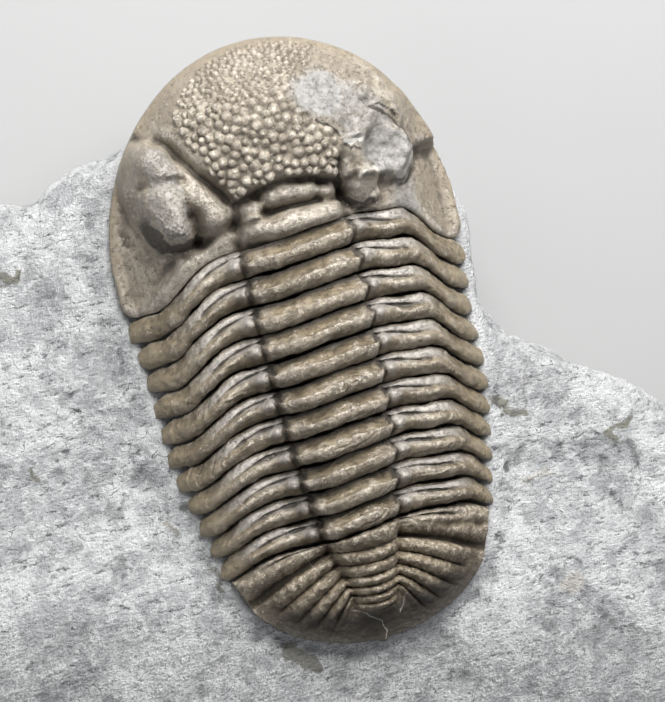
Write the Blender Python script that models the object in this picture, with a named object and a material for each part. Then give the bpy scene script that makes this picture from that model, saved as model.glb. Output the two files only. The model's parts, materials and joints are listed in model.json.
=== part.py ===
"""A phacopid trilobite fossil lying on its slab of limestone.

The shell is thirteen plates: the head shield, eleven thoracic segments that
overlap like roof tiles, and the tail shield. The fourteenth piece is the rock.
Each plate is a closed solid with a flat underside, set just above the bed.
"""

import math

import bmesh
import bpy
from mathutils import Vector, noise

MM = 0.001
NEAR = 0.01

# Driving dimensions in millimetres. The fossil's frame has the midline along Y
# with the head at +Y, Y = 0 at the sixth ring, and Z = 0 at the rock's bed.
SEGMENTS = 11
FIRST_RING_Y = 10.95
FIRST_PITCH = 2.28
PITCH_LOSS = 0.028
PLATE_GAP = 0.34
BED_GAP = 0.3
JOINT_LEAN = 0.08

RING_HALF_WIDTH = 4.35
RING_TAPER = 1.25
RING_ARCH = 2.5
RING_ARCH_SPREAD = 1.04
CREST_HEIGHT = 10.7
CREST_DROP = 2.9
PLEURA_DROP = 3.2
FULCRUM_X = 8.4
FULCRUM_SOFTNESS = 0.55
TIP_HEIGHT = 1.7
TIP_LENGTH = 1.5
TIP_ROUNDING = 0.88
TIP_FRONT_CUT = 1.5
TIP_BACK_CUT = 0.7
TIP_FLATTENING = 0.6
FIRST_SWEEP = 3.3
LAST_SWEEP = 1.7
SWEEP_START_X = 3.6
SWEEP_END_X = 11.6
# Cuts along a segment, front to back: share of its length, and drop below its crest.
RING_PROFILE = ((0.0, -1.5), (0.24, -1.3), (0.38, -0.3), (0.62, 0.0), (0.86, -0.1), (1.0, -0.6))
PLEURA_PROFILE = ((0.0, -1.0), (0.16, -0.5), (0.32, -0.85), (0.5, -0.08), (0.84, -0.08), (1.0, -0.6))
# Half the thorax's width, as (Y, half width).
THORAX_HALF_WIDTH = ((-11.8, 11.0), (-5.0, 12.4), (0.0, 13.2), (7.0, 13.4), (11.2, 13.8))

HEAD_WIDEST_Y = 11.2
HEAD_HALF_WIDTH = 14.1
HEAD_REACH = 16.7
HEAD_LAST_COLUMN = 14.0
HEAD_UNDERCUT = 0.94
REAR_EDGE_DROP = 0.4
GENAL_CORNER_X = 12.9
GENAL_TURN = 1.9
GENAL_TIP_Y = 7.5
BORDER_HEIGHT = 1.7
BORDER_RELIEF = 0.5
REAR_BORDER_RELIEF = 0.7
CHEEK_RISE = 7.1
CHEEK_SHOULDER = ((12.0, 0.45), (17.0, 0.62), (22.0, 0.82))
GLABELLA_CENTRE = Vector((0.0, 19.4, 3.0))
GLABELLA_RADII = Vector((10.4, 8.75, 8.9))
GLABELLA_FLOOR = 0.04
GLABELLA_EDGE = (
    (12.0, 4.35), (15.0, 4.1), (17.2, 5.8), (18.6, 7.0), (19.9, 7.4), (21.6, 9.0), (24.0, 12.0),
)
EDGE_SOFTNESS = 0.7
FURROW_DEPTH = 1.0
FURROW_WIDTH = 0.55
WART_HEIGHT = 0.33
EYE_LINE = (Vector((8.7, 20.0)), Vector((9.5, 18.0)), Vector((9.3, 15.3)))
EYE_RADIUS = 1.9
EYE_HEIGHT = 9.9
EYE_ROUNDING = 0.35
REAR_RING_BASE = 8.6
REAR_RING_ARCH = 1.7
REAR_RING_END_Y = 15.0
OCCIPITAL_Y = 12.8
OCCIPITAL_RISE = 2.1
OCCIPITAL_WIDTH = 0.75
PREOCCIPITAL_Y = 14.3
PREOCCIPITAL_RISE = 0.7
PREOCCIPITAL_WIDTH = 0.5
SIDE_LOBE_X = 3.7
SIDE_LOBE_RISE = 0.5
SIDE_LOBE_WIDTH = 0.9
BROKEN_EYE = Vector((8.9, 16.9))
BROKEN_EYE_RADIUS = 2.0
BROKEN_EYE_DEPTH = 0.9
BROKEN_RIM_RISE = 0.6
BROKEN_LUMP = Vector((5.7, 15.3))
BROKEN_LUMP_RADIUS = 1.5
BROKEN_LUMP_RISE = 1.1
BARE_PATCH = Vector((4.3, 22.3))
BARE_PATCH_RADIUS = 2.3

TAIL_CENTRE_Y = -11.8
TAIL_HALF_WIDTH = 10.9
TAIL_REACH = 8.6
# Grooves of the tail, front to back: Y on the axis, and angle on the margin from its widest place.
TAIL_GROOVES = (
    (-11.59, 10.0), (-12.68, 26.0), (-13.8, 38.0), (-14.9, 50.0), (-15.85, 60.0), (-16.75, 70.0),
    (-18.2, 80.0), (-20.4, 85.0),
)
TAIL_RIBS = 5
TAIL_RIB_BEND = 1.12
TAIL_RIB_RELIEF = 0.27
TAIL_RING_RELIEF = 0.24
TAIL_RIB_REACH = 0.92
TAIL_SHOULDER = 0.42
TAIL_AXIS_END_Y = -18.2
TAIL_AXIS_HALF_WIDTH = 3.0
TAIL_AXIS_DROP = 3.0
TAIL_AXIS_ARCH = 1.9
TAIL_FURROW = 0.4
TAIL_FRONT_DROP = 0.5
TAIL_UNDERCUT = 0.98

SLAB_THICKNESS = 15.0
SLAB_CENTRE = Vector((-2.0, -4.0))
SLAB_SPOKES = 88
SEAT_MARGIN = 0.7
LEDGE_DEPTH = 0.8
ARRIS_DEPTH = 1.4
ARRIS_START = 0.72
SWELL_LIMIT = 1.3
WALL_BULGE = 0.6
FOOT_CHAMFER = 1.1
FOOT_RISE = 1.0
BASE_CORNERS = 4
BASE_SHARE = 0.7
BASE_HOLLOW = 0.14
TOP_SHARES = (0.0, 0.1, 0.27, 0.5, 0.76, 0.94, 1.0)
WALL_LEVELS = (0.12, 0.4, 0.7, 0.93, 1.0)
SLAB_OUTLINE = (
    (-20.6, 20.0), (-18.9, 19.4), (-16.9, 19.5), (-15.5, 20.2), (-14.2, 21.1), (-11.3, 21.1),
    (-8.5, 22.6), (-3.0, 24.2), (3.0, 24.0), (8.0, 21.6), (11.8, 17.2), (13.9, 13.4),
    (14.7, 11.3), (14.3, 9.1), (14.6, 7.8), (14.3, 5.5), (13.9, 3.2), (15.5, 0.7),
    (19.6, -2.1), (21.5, -3.8), (23.3, -4.6), (25.4, -7.0), (30.2, -10.8), (31.4, -20.0),
    (29.4, -31.0), (23.6, -36.6), (10.0, -34.2), (-6.0, -30.6), (-20.0, -27.4), (-32.6, -24.4),
    (-37.4, -15.5), (-34.8, -2.0), (-31.6, 8.4), (-27.2, 18.2),
)

HEAD_COLUMNS = 41
HEAD_ROWS = 24
TAIL_AXIS_STATIONS = (0.0, 0.6)
TAIL_FIELD_STATIONS = (0.0, 0.1, 0.32, 0.6, 0.86, 1.0)
TAIL_ROW_STEP = 0.25
TAIL_LAST_ROWS = (6.0, 6.5, 7.0)
RING_STATIONS = (0.0, 0.35, 0.68, 0.92)
PLEURA_STATIONS = (0.05, 0.16, 0.38, 0.5, 0.64, 0.78, 0.91, 1.0)


def clamp(value):
    return min(1.0, max(0.0, value))


def smooth_step(value):
    value = clamp(value)
    return value * value * (3.0 - 2.0 * value)


def bell(distance, width):
    return math.exp(-(distance / width) ** 2)


def along(points, position):
    """Read a value off a short list of (position, value) pairs, straight between them."""
    if position <= points[0][0]:
        return points[0][1]
    for (start, low), (end, high) in zip(points, points[1:]):
        if position <= end:
            return low + (high - low) * (position - start) / (end - start)
    return points[-1][1]


def plain_material(name, colour, roughness):
    material = bpy.data.materials.new(name)
    material.use_nodes = True
    shader = material.node_tree.nodes["Principled BSDF"]
    shader.inputs["Base Color"].default_value = (*colour, 1.0)
    shader.inputs["Roughness"].default_value = roughness
    shader.inputs["Metallic"].default_value = 0.0
    return material


def add_object(name, corners, faces, material, shift):
    """Make one closed object of corners in millimetres, moved by shift."""
    mesh = bpy.data.meshes.new(name)
    build = bmesh.new()
    verts = [build.verts.new((Vector(corner) + shift) * MM) for corner in corners]
    for face in faces:
        build.faces.new([verts[index] for index in face])
    bmesh.ops.recalc_face_normals(build, faces=build.faces)
    build.to_mesh(mesh)
    build.free()
    mesh.shade_smooth()
    mesh.set_sharp_from_angle(angle=math.radians(50))
    mesh.materials.append(material)
    made = bpy.data.objects.new(name, mesh)
    bpy.context.scene.collection.objects.link(made)
    return made


def solid_over_grid(rows, foot_of, peak=None):
    """Close a grid of top points with walls down to a flat underside.

    foot_of gives the foot below a point of the rim. peak gives how far the
    middle of a face stands up as a small pyramid, or 0 for a plain face.
    """
    height = len(rows)
    width = len(rows[0])
    corners = [point for row in rows for point in row]
    faces = []
    for row in range(height - 1):
        for column in range(width - 1):
            start = row * width + column
            around = (start, start + 1, start + width + 1, start + width)
            spots = [Vector(corners[index]) for index in around]
            middle = sum(spots, Vector()) / 4.0
            rise = peak(middle) if peak else 0.0
            if rise == 0.0:
                faces.append(around)
                continue
            outward = (spots[2] - spots[0]).cross(spots[3] - spots[1]).normalized()
            top = len(corners)
            corners.append(tuple(middle + outward * rise))
            faces += [(around[side - 1], around[side], top) for side in range(4)]
    rim = list(range(width))
    rim += [row * width + width - 1 for row in range(1, height)]
    rim += [(height - 1) * width + column for column in range(width - 2, -1, -1)]
    rim += [row * width for row in range(height - 2, 0, -1)]
    foot = []
    for index in rim:
        point = corners[index]
        foot.append(len(corners))
        corners.append(foot_of(point))
    for step, index in enumerate(rim):
        after = (step + 1) % len(rim)
        faces.append((index, foot[step], foot[after], rim[after]))
    faces.append(tuple(foot))
    return corners, faces


# The thorax

def ring_y(index):
    """Middle of ring index, counted from 1 at the front of the thorax."""
    steps = index - 1
    return FIRST_RING_Y - steps * FIRST_PITCH + PITCH_LOSS * steps * (steps - 1) / 2.0


def body_share(y):
    """Share of the way from the front ring of the thorax to its last ring."""
    return (ring_y(1) - y) / (ring_y(1) - ring_y(SEGMENTS))


def ring_half_width(y):
    return RING_HALF_WIDTH - RING_TAPER * clamp(body_share(y)) ** 3


def crest_height(y):
    return CREST_HEIGHT - CREST_DROP * max(0.0, body_share(y)) ** 1.8


def body_half_width(y):
    return along(THORAX_HALF_WIDTH, y)


def sweep(joint, x):
    """How far a joint has swept back at x; joint 0 is behind the head."""
    reach = FIRST_SWEEP + (LAST_SWEEP - FIRST_SWEEP) * joint / SEGMENTS
    share = clamp((abs(x) - SWEEP_START_X) / (SWEEP_END_X - SWEEP_START_X))
    return reach * smooth_step(share ** 1.7)


def joint_middle_y(joint):
    return (ring_y(joint) + ring_y(joint + 1)) / 2.0


def pleura_height(x, y):
    """Top of the pleural arch: flat out to the fulcrum, then a steep slope."""
    flat = crest_height(y) - PLEURA_DROP
    slope = (flat - TIP_HEIGHT) / (body_half_width(y) - FULCRUM_X)
    bend = FULCRUM_SOFTNESS * math.log(1.0 + math.exp((abs(x) - FULCRUM_X) / FULCRUM_SOFTNESS))
    return flat - slope * bend


def joint_y(joint, x, z):
    """The slanted surface between two plates: the front plate lies on top."""
    middle = joint_middle_y(joint)
    lean = JOINT_LEAN * (pleura_height(x, middle) - z)
    return middle - sweep(joint, x) + lean


def ring_height(x, y):
    width = ring_half_width(y) * RING_ARCH_SPREAD
    return crest_height(y) - RING_ARCH * (1.0 - math.sqrt(max(0.0, 1.0 - (x / width) ** 2)))


def segment_station(index, x):
    """Corners of one cut across segment index at x: the top, front to back, then the foot."""
    y = ring_y(index)
    width = body_half_width(y)
    on_ring = abs(x) < ring_half_width(y)
    top = ring_height(x, y) if on_ring else pleura_height(x, y)
    profile = RING_PROFILE if on_ring else PLEURA_PROFILE
    into_tip = clamp((abs(x) - width + TIP_LENGTH) / TIP_LENGTH)
    relief = 1.0 - TIP_FLATTENING * into_tip
    narrow = 1.0 - math.sqrt(1.0 - (TIP_ROUNDING * into_tip) ** 2)
    corners = []
    for share, drop in profile:
        z = top + drop * relief
        front = joint_y(index - 1, x, z) - PLATE_GAP / 2.0 - narrow * TIP_FRONT_CUT
        back = joint_y(index, x, z) + PLATE_GAP / 2.0 + narrow * TIP_BACK_CUT
        corners.append((x, front + (back - front) * share, z))
    for edge in (corners[-1], corners[0]):
        lean = JOINT_LEAN * (edge[2] - BED_GAP)
        corners.append((x, edge[1] + lean, BED_GAP))
    return corners


def make_segment(index, material, shift):
    y = ring_y(index)
    ring = ring_half_width(y)
    width = body_half_width(y)
    side = [share * ring for share in RING_STATIONS]
    side += [ring + share * (width - ring) for share in PLEURA_STATIONS]
    stations = [-x for x in reversed(side[1:])] + side
    cuts = [segment_station(index, x) for x in stations]
    around = len(cuts[0])
    corners = [corner for cut in cuts for corner in cut]
    faces = []
    for cut in range(len(cuts) - 1):
        for step in range(around):
            after = (step + 1) % around
            faces.append((
                cut * around + step, cut * around + after,
                (cut + 1) * around + after, (cut + 1) * around + step,
            ))
    faces.append(tuple(range(around)))
    last = (len(cuts) - 1) * around
    faces.append(tuple(last + step for step in reversed(range(around))))
    name = f"thoracic_segment_{index:02d}"
    return add_object(name, corners, faces, material, shift)


# The head shield

def head_front_y(x):
    return HEAD_WIDEST_Y + HEAD_REACH * math.sqrt(max(0.0, 1.0 - (x / HEAD_HALF_WIDTH) ** 2))


def head_back_y(x, z):
    """The rear edge meets the first segment, and turns up at the genal corner."""
    corner = clamp((abs(x) - GENAL_CORNER_X) / (HEAD_HALF_WIDTH - GENAL_CORNER_X))
    turn = GENAL_TURN * (1.0 - math.sqrt(1.0 - corner ** 2))
    return joint_y(0, x, z) + PLATE_GAP / 2.0 + turn


def outline_share(x, y):
    """0 in the middle of the head shield and 1 on its outline."""
    forward = max(0.0, y - HEAD_WIDEST_Y) / HEAD_REACH
    return math.hypot(x / HEAD_HALF_WIDTH, forward)


def glabella_height(x, y):
    across = (x - GLABELLA_CENTRE.x) / GLABELLA_RADII.x
    length = (y - GLABELLA_CENTRE.y) / GLABELLA_RADII.y
    dome = max(GLABELLA_FLOOR, 1.0 - across ** 2 - length ** 2)
    return GLABELLA_CENTRE.z + GLABELLA_RADII.z * math.sqrt(dome)


def rear_ring_height(x, y):
    """The occipital ring and the low ring in front of it."""
    arch = REAR_RING_ARCH * (x / RING_HALF_WIDTH) ** 2
    occipital = OCCIPITAL_RISE * bell(y - OCCIPITAL_Y, OCCIPITAL_WIDTH)
    side_lobe = SIDE_LOBE_RISE * bell(abs(x) - SIDE_LOBE_X, SIDE_LOBE_WIDTH)
    preoccipital = (PREOCCIPITAL_RISE + side_lobe) * bell(y - PREOCCIPITAL_Y, PREOCCIPITAL_WIDTH)
    return REAR_RING_BASE - arch + occipital + preoccipital


def cheek_height(x, y):
    share = outline_share(x, y)
    shoulder = along(CHEEK_SHOULDER, y)
    rise = CHEEK_RISE * (1.0 - smooth_step((share - shoulder) / (1.0 - shoulder)))
    border = bell(share - 0.97, 0.03) - bell(share - 0.89, 0.04)
    inside = y - head_back_y(x, BORDER_HEIGHT)
    rear_border = bell(inside - 0.4, 0.6) - bell(inside - 1.7, 0.6)
    return BORDER_HEIGHT + rise + BORDER_RELIEF * border + REAR_BORDER_RELIEF * rear_border


def line_distance(spot, line):
    """Distance from spot to a line of a few points."""
    nearest = []
    for start, end in zip(line, line[1:]):
        along_line = clamp((spot - start).dot(end - start) / (end - start).length_squared)
        nearest.append((spot - start.lerp(end, along_line)).length)
    return min(nearest)


def damage(x, y, height):
    """The side without its eye: a shallow dish in the break, and a lump behind it."""
    spot = Vector((x, y))
    dish = (spot - BROKEN_EYE).length / BROKEN_EYE_RADIUS
    lump = (spot - BROKEN_LUMP).length / BROKEN_LUMP_RADIUS
    rim = BROKEN_RIM_RISE * bell(dish - 1.1, 0.3)
    return height + rim - BROKEN_EYE_DEPTH * bell(dish, 0.75) + BROKEN_LUMP_RISE * bell(lump, 0.8)


def head_height(x, y):
    edge = along(GLABELLA_EDGE, y)
    inner = glabella_height(x, y) if y > REAR_RING_END_Y else rear_ring_height(x, y)
    outer = cheek_height(x, y)
    share = smooth_step((edge - abs(x)) / EDGE_SOFTNESS + 0.5)
    height = outer + (inner - outer) * share
    height -= FURROW_DEPTH * bell(abs(x) - edge, FURROW_WIDTH)
    if x > 0:
        return damage(x, y, height)
    off = line_distance(Vector((abs(x), y)), EYE_LINE)
    lobe = EYE_HEIGHT - EYE_ROUNDING * off ** 2
    cover = smooth_step((EYE_RADIUS + 0.25 - off) / 0.5)
    return height + (max(lobe, height) - height) * cover


def wart(spot):
    """Height of the tubercle at spot, which only the unbroken glabella has."""
    inside_edge = abs(spot.x) < along(GLABELLA_EDGE, spot.y) - EDGE_SOFTNESS
    on_glabella = inside_edge and spot.y > REAR_RING_END_Y + FURROW_WIDTH / 2.0
    broken = spot.x > BROKEN_LUMP.x - BROKEN_LUMP_RADIUS and spot.y < BARE_PATCH.y + BARE_PATCH_RADIUS
    bare = (spot.xy - BARE_PATCH).length < BARE_PATCH_RADIUS
    if broken or bare or not on_glabella:
        return 0.0
    return WART_HEIGHT


def make_cephalon(material, shift):
    middle = (HEAD_COLUMNS - 1) / 2.0
    rows = []
    for row in range(HEAD_ROWS):
        forward = row / (HEAD_ROWS - 1)
        line = []
        for column in range(HEAD_COLUMNS):
            turn = (column - middle) / middle
            x = HEAD_LAST_COLUMN * math.sin(turn * math.pi / 2.0)
            joint_z = pleura_height(x, HEAD_WIDEST_Y)
            back = head_back_y(x, joint_z)
            y = back + (head_front_y(x) - back) * forward
            z = head_height(x, y)
            if row == 0:
                on_ring = abs(x) < RING_HALF_WIDTH
                z = (z if on_ring else min(z, joint_z)) - REAR_EDGE_DROP
                y = head_back_y(x, z)
            line.append((x, y, z))
        rows.append(line)

    def foot(point):
        x, y, z = point
        if y < head_back_y(x, z) + NEAR:
            return (x, y + JOINT_LEAN * (z - BED_GAP), BED_GAP)
        return (x * HEAD_UNDERCUT, HEAD_WIDEST_Y + (y - HEAD_WIDEST_Y) * HEAD_UNDERCUT, BED_GAP)

    corners, faces = solid_over_grid(rows, foot, wart)
    return add_object("cephalon", corners, faces, material, shift)


# The tail shield

def tail_groove(place):
    """Y on the axis and angle on the margin, place counting grooves from the front edge."""
    first = min(int(place), len(TAIL_GROOVES) - 2)
    axis_y, angle = (
        start + (end - start) * (place - first)
        for start, end in zip(TAIL_GROOVES[first], TAIL_GROOVES[first + 1])
    )
    return axis_y, math.radians(angle)


def tail_axis_half_width(y):
    taper = clamp((TAIL_GROOVES[0][0] - y) / (TAIL_GROOVES[0][0] - TAIL_AXIS_END_Y))
    return TAIL_AXIS_HALF_WIDTH * (1.0 - taper / 2.0)


def tail_height(x, y, place):
    reach = math.hypot(x / TAIL_HALF_WIDTH, min(0.0, y - TAIL_CENTRE_Y) / TAIL_REACH)
    front_z = crest_height(TAIL_CENTRE_Y) - PLEURA_DROP
    slope = smooth_step((reach - TAIL_SHOULDER) / (1.0 - TAIL_SHOULDER))
    field = front_z + (TIP_HEIGHT - front_z) * slope
    wave = -math.cos(2.0 * math.pi * place) * smooth_step(TAIL_RIBS + 1.0 - place)
    field += TAIL_RIB_RELIEF * wave * smooth_step((TAIL_RIB_REACH - reach) / 0.25)
    taper = clamp((TAIL_GROOVES[0][0] - y) / (TAIL_GROOVES[0][0] - TAIL_AXIS_END_Y))
    half_width = tail_axis_half_width(y)
    crest = crest_height(TAIL_CENTRE_Y) - TAIL_AXIS_DROP * taper
    axis = crest - TAIL_AXIS_ARCH * (x / half_width) ** 2 + TAIL_RING_RELIEF * wave
    cover = smooth_step((half_width - abs(x)) / EDGE_SOFTNESS + 0.5) * smooth_step(y - TAIL_AXIS_END_Y)
    furrow = TAIL_FURROW * bell(abs(x) - half_width, 0.5) * (1.0 - taper ** 4)
    return field + (max(axis, field) - field) * cover - furrow


def tail_spot(place, side, share):
    """Point on the tail: side is -1 or 1, share 0 at the axis furrow and 1 on the margin."""
    axis_y, angle = tail_groove(place)
    half_width = tail_axis_half_width(axis_y)
    end_x = TAIL_HALF_WIDTH * math.cos(angle)
    end_y = TAIL_CENTRE_Y - TAIL_REACH * math.sin(angle)
    half_width = min(half_width, end_x * 0.7)
    x = half_width + (end_x - half_width) * share
    y = axis_y + (end_y - axis_y) * max(0.0, share) ** TAIL_RIB_BEND
    if share < 0.0:
        x = half_width * (1.0 + share)
    if place < 1.0:
        edge_y = joint_y(SEGMENTS, x, pleura_height(x, TAIL_CENTRE_Y)) - PLATE_GAP / 2.0
        y = edge_y + (y - edge_y) * place
    return side * x, y


def make_pygidium(material, shift):
    places = [row * TAIL_ROW_STEP for row in range(round((TAIL_RIBS + 0.5) / TAIL_ROW_STEP) + 1)]
    half = [-1.0 + share for share in TAIL_AXIS_STATIONS] + list(TAIL_FIELD_STATIONS)
    columns = [(-1.0, share) for share in reversed(half[1:])] + [(1.0, share) for share in half]
    rows = []
    for place in places + list(TAIL_LAST_ROWS):
        line = []
        for side, share in columns:
            x, y = tail_spot(place, side, share)
            z = tail_height(x, y, place)
            if place == 0.0:
                z -= TAIL_FRONT_DROP
                y = joint_y(SEGMENTS, x, z) - PLATE_GAP / 2.0
            line.append((x, y, z))
        rows.append(line)

    def foot(point):
        x, y, z = point
        if y > joint_y(SEGMENTS, x, z) - PLATE_GAP / 2.0 - NEAR:
            return (x, y + JOINT_LEAN * (z - BED_GAP), BED_GAP)
        return (x * TAIL_UNDERCUT, TAIL_CENTRE_Y + (y - TAIL_CENTRE_Y) * TAIL_UNDERCUT, BED_GAP)

    corners, faces = solid_over_grid(rows, foot)
    return add_object("pygidium", corners, faces, material, shift)


# The rock

def fossil_half_width(y):
    if y > HEAD_WIDEST_Y:
        return HEAD_HALF_WIDTH * math.sqrt(max(0.0, 1.0 - ((y - HEAD_WIDEST_Y) / HEAD_REACH) ** 2))
    if y < TAIL_CENTRE_Y:
        return TAIL_HALF_WIDTH * math.sqrt(max(0.0, 1.0 - ((y - TAIL_CENTRE_Y) / TAIL_REACH) ** 2))
    return max(body_half_width(y), HEAD_HALF_WIDTH * smooth_step((y - GENAL_TIP_Y) / 3.0))


def seat_reach(direction):
    """Distance from the slab's middle to just outside the fossil, along direction."""
    near = 0.0
    far = 40.0
    while far - near > 0.01:
        reach = (near + far) / 2.0
        point = SLAB_CENTRE + direction * reach
        if abs(point.x) < fossil_half_width(point.y):
            near = reach
        else:
            far = reach
    return near + SEAT_MARGIN


def outline_points(count):
    """The slab's broken outline, read at equal steps."""
    corners = [Vector(corner) for corner in SLAB_OUTLINE]
    sides = list(zip(corners, corners[1:] + corners[:1]))
    total = sum((end - start).length for start, end in sides)
    points = []
    for step in range(count):
        left = total * step / count
        for start, end in sides:
            length = (end - start).length
            if left < length:
                points.append(start.lerp(end, left / length))
                break
            left -= length
    return points


def rough(x, y, z, size, seed):
    return noise.fractal(Vector((x + seed, y, z)) / size, 1.0, 2.0, 3)


def rock_height(point, away, edge):
    """Height of the rock's top: swells and ledges, flat where the fossil lies."""
    x, y = point
    swell = 1.1 * rough(x, y, 0.0, 14.0, 3.0) + 0.7 * rough(x, y, 0.0, 4.0, 20.0)
    ledge = -LEDGE_DEPTH * smooth_step(rough(x, y, 0.0, 9.0, 50.0) * 5.0 - 0.6)
    arris = -ARRIS_DEPTH * smooth_step((edge - ARRIS_START) / (1.0 - ARRIS_START))
    height = (swell + ledge) * smooth_step(away / 2.5) + arris * smooth_step(away / 1.2)
    return min(height, SWELL_LIMIT)


def top_ring(outline, share):
    """Points of the top, share of the way from the fossil's seat to the outline."""
    ring = []
    for edge in outline:
        direction = (edge - SLAB_CENTRE).normalized()
        full = (edge - SLAB_CENTRE).length
        seat = min(seat_reach(direction), full - SEAT_MARGIN)
        reach = seat + (full - seat) * share
        point = SLAB_CENTRE + direction * reach
        ring.append((point.x, point.y, rock_height(point, reach - seat, share)))
    return ring


def wall_ring(outline, level):
    """Points of the broken side, level of the way down from the arris to the base."""
    ring = []
    z = -ARRIS_DEPTH + (ARRIS_DEPTH + FOOT_RISE - SLAB_THICKNESS) * level
    foot_chamfer = FOOT_CHAMFER * (level == 1.0)
    for edge in outline:
        direction = (edge - SLAB_CENTRE).normalized()
        broken = 1.6 * rough(edge.x, edge.y, z, 8.0, 90.0) + 0.7 * rough(edge.x, edge.y, z, 3.0, 7.0)
        point = edge + direction * (WALL_BULGE + broken - foot_chamfer)
        ring.append((point.x, point.y, z))
    return ring


def base_ring(outline):
    """The flat spot that the rock rests on: its corners stand out, and its sides curve in."""
    side = SLAB_SPOKES // BASE_CORNERS
    corners = [SLAB_CENTRE.lerp(outline[side * corner], BASE_SHARE) for corner in range(BASE_CORNERS)]
    ring = []
    for spoke in range(SLAB_SPOKES):
        corner, step = divmod(spoke, side)
        share = step / side
        point = corners[corner].lerp(corners[(corner + 1) % BASE_CORNERS], share)
        point = point.lerp(SLAB_CENTRE, BASE_HOLLOW * 4.0 * share * (1.0 - share))
        ring.append((point.x, point.y, -SLAB_THICKNESS))
    return ring


def make_slab(material, shift):
    outline = outline_points(SLAB_SPOKES)
    rings = [top_ring(outline, share) for share in TOP_SHARES]
    rings += [wall_ring(outline, level) for level in WALL_LEVELS]
    rings.append(base_ring(outline))
    corners = [corner for ring in rings for corner in ring]
    faces = [tuple(range(SLAB_SPOKES))]
    for ring in range(len(rings) - 1):
        inner = ring * SLAB_SPOKES
        outer = inner + SLAB_SPOKES
        for spoke in range(SLAB_SPOKES):
            after = (spoke + 1) % SLAB_SPOKES
            faces.append((inner + spoke, inner + after, outer + after, outer + spoke))
    base = (len(rings) - 1) * SLAB_SPOKES
    centre = len(corners)
    corners.append((SLAB_CENTRE.x, SLAB_CENTRE.y, -SLAB_THICKNESS))
    for spoke in range(SLAB_SPOKES):
        faces.append((base + (spoke + 1) % SLAB_SPOKES, base + spoke, centre))
    return add_object("matrix_slab", corners, faces, material, shift)


def clear_scene():
    for old in list(bpy.data.objects):
        bpy.data.objects.remove(old, do_unlink=True)


def plan_middle(objects):
    """Middle of everything's outline, seen from above, in metres."""
    spots = [made.matrix_world @ vert.co for made in objects for vert in made.data.vertices]
    low_x = min(spot.x for spot in spots)
    high_x = max(spot.x for spot in spots)
    low_y = min(spot.y for spot in spots)
    high_y = max(spot.y for spot in spots)
    return Vector(((low_x + high_x) / 2.0, (low_y + high_y) / 2.0, 0.0))


def main():
    clear_scene()
    head_shell = plain_material("cephalon_calcite", (0.26, 0.22, 0.16), 0.42)
    body_shell = plain_material("thorax_calcite", (0.22, 0.18, 0.13), 0.40)
    tail_shell = plain_material("pygidium_calcite", (0.15, 0.12, 0.08), 0.40)
    limestone = plain_material("matrix_limestone", (0.55, 0.55, 0.53), 0.85)
    lift = Vector((0.0, 0.0, SLAB_THICKNESS))
    made = [make_slab(limestone, lift), make_cephalon(head_shell, lift)]
    for index in range(1, SEGMENTS + 1):
        made.append(make_segment(index, body_shell, lift))
    made.append(make_pygidium(tail_shell, lift))
    middle = plan_middle(made)
    for piece in made:
        for vert in piece.data.vertices:
            vert.co -= middle


main()
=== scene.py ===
# %% [markdown]
# A trilobite on its piece of limestone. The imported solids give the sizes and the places, and every
# piece below is made around them. The shell is thirteen plates: a head shield, eleven segments and
# a tail shield. Lengths are in millimetres here, and they become metres when a mesh is made.

# %% Load the solids
import json
import math

import bmesh
import bpy
import numpy as np
from mathutils import Matrix, Vector

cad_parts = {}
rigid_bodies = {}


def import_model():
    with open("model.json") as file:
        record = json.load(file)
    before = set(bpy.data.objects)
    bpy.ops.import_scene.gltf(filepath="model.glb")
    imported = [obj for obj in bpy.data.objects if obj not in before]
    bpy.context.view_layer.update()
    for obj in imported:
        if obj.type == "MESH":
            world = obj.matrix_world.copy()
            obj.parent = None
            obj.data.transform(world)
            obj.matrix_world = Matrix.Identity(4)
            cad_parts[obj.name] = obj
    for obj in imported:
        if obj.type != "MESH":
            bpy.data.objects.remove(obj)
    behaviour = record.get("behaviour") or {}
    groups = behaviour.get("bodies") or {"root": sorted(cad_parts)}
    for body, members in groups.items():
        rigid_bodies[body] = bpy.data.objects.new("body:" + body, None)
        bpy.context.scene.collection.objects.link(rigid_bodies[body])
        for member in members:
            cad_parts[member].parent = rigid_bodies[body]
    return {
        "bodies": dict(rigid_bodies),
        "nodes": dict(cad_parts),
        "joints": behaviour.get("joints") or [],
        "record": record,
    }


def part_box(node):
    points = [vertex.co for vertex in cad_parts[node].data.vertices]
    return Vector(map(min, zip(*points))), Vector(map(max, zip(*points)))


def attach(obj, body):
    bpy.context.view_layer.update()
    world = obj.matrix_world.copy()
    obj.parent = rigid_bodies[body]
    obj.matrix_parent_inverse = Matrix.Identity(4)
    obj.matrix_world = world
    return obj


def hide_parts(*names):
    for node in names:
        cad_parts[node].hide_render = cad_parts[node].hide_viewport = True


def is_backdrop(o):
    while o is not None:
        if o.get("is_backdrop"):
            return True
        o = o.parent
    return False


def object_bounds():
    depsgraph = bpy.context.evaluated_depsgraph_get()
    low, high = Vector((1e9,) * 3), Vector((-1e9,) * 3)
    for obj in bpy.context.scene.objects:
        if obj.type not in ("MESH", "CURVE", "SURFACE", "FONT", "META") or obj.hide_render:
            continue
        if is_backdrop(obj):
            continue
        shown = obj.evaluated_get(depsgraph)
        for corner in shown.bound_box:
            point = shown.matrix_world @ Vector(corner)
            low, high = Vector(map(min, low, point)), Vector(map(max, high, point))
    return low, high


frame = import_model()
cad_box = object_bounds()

MM = 0.001
SEGMENTS = 11
SLAB_THICKNESS = 15.0
HEAD_FRONT_Y = 27.9

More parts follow.
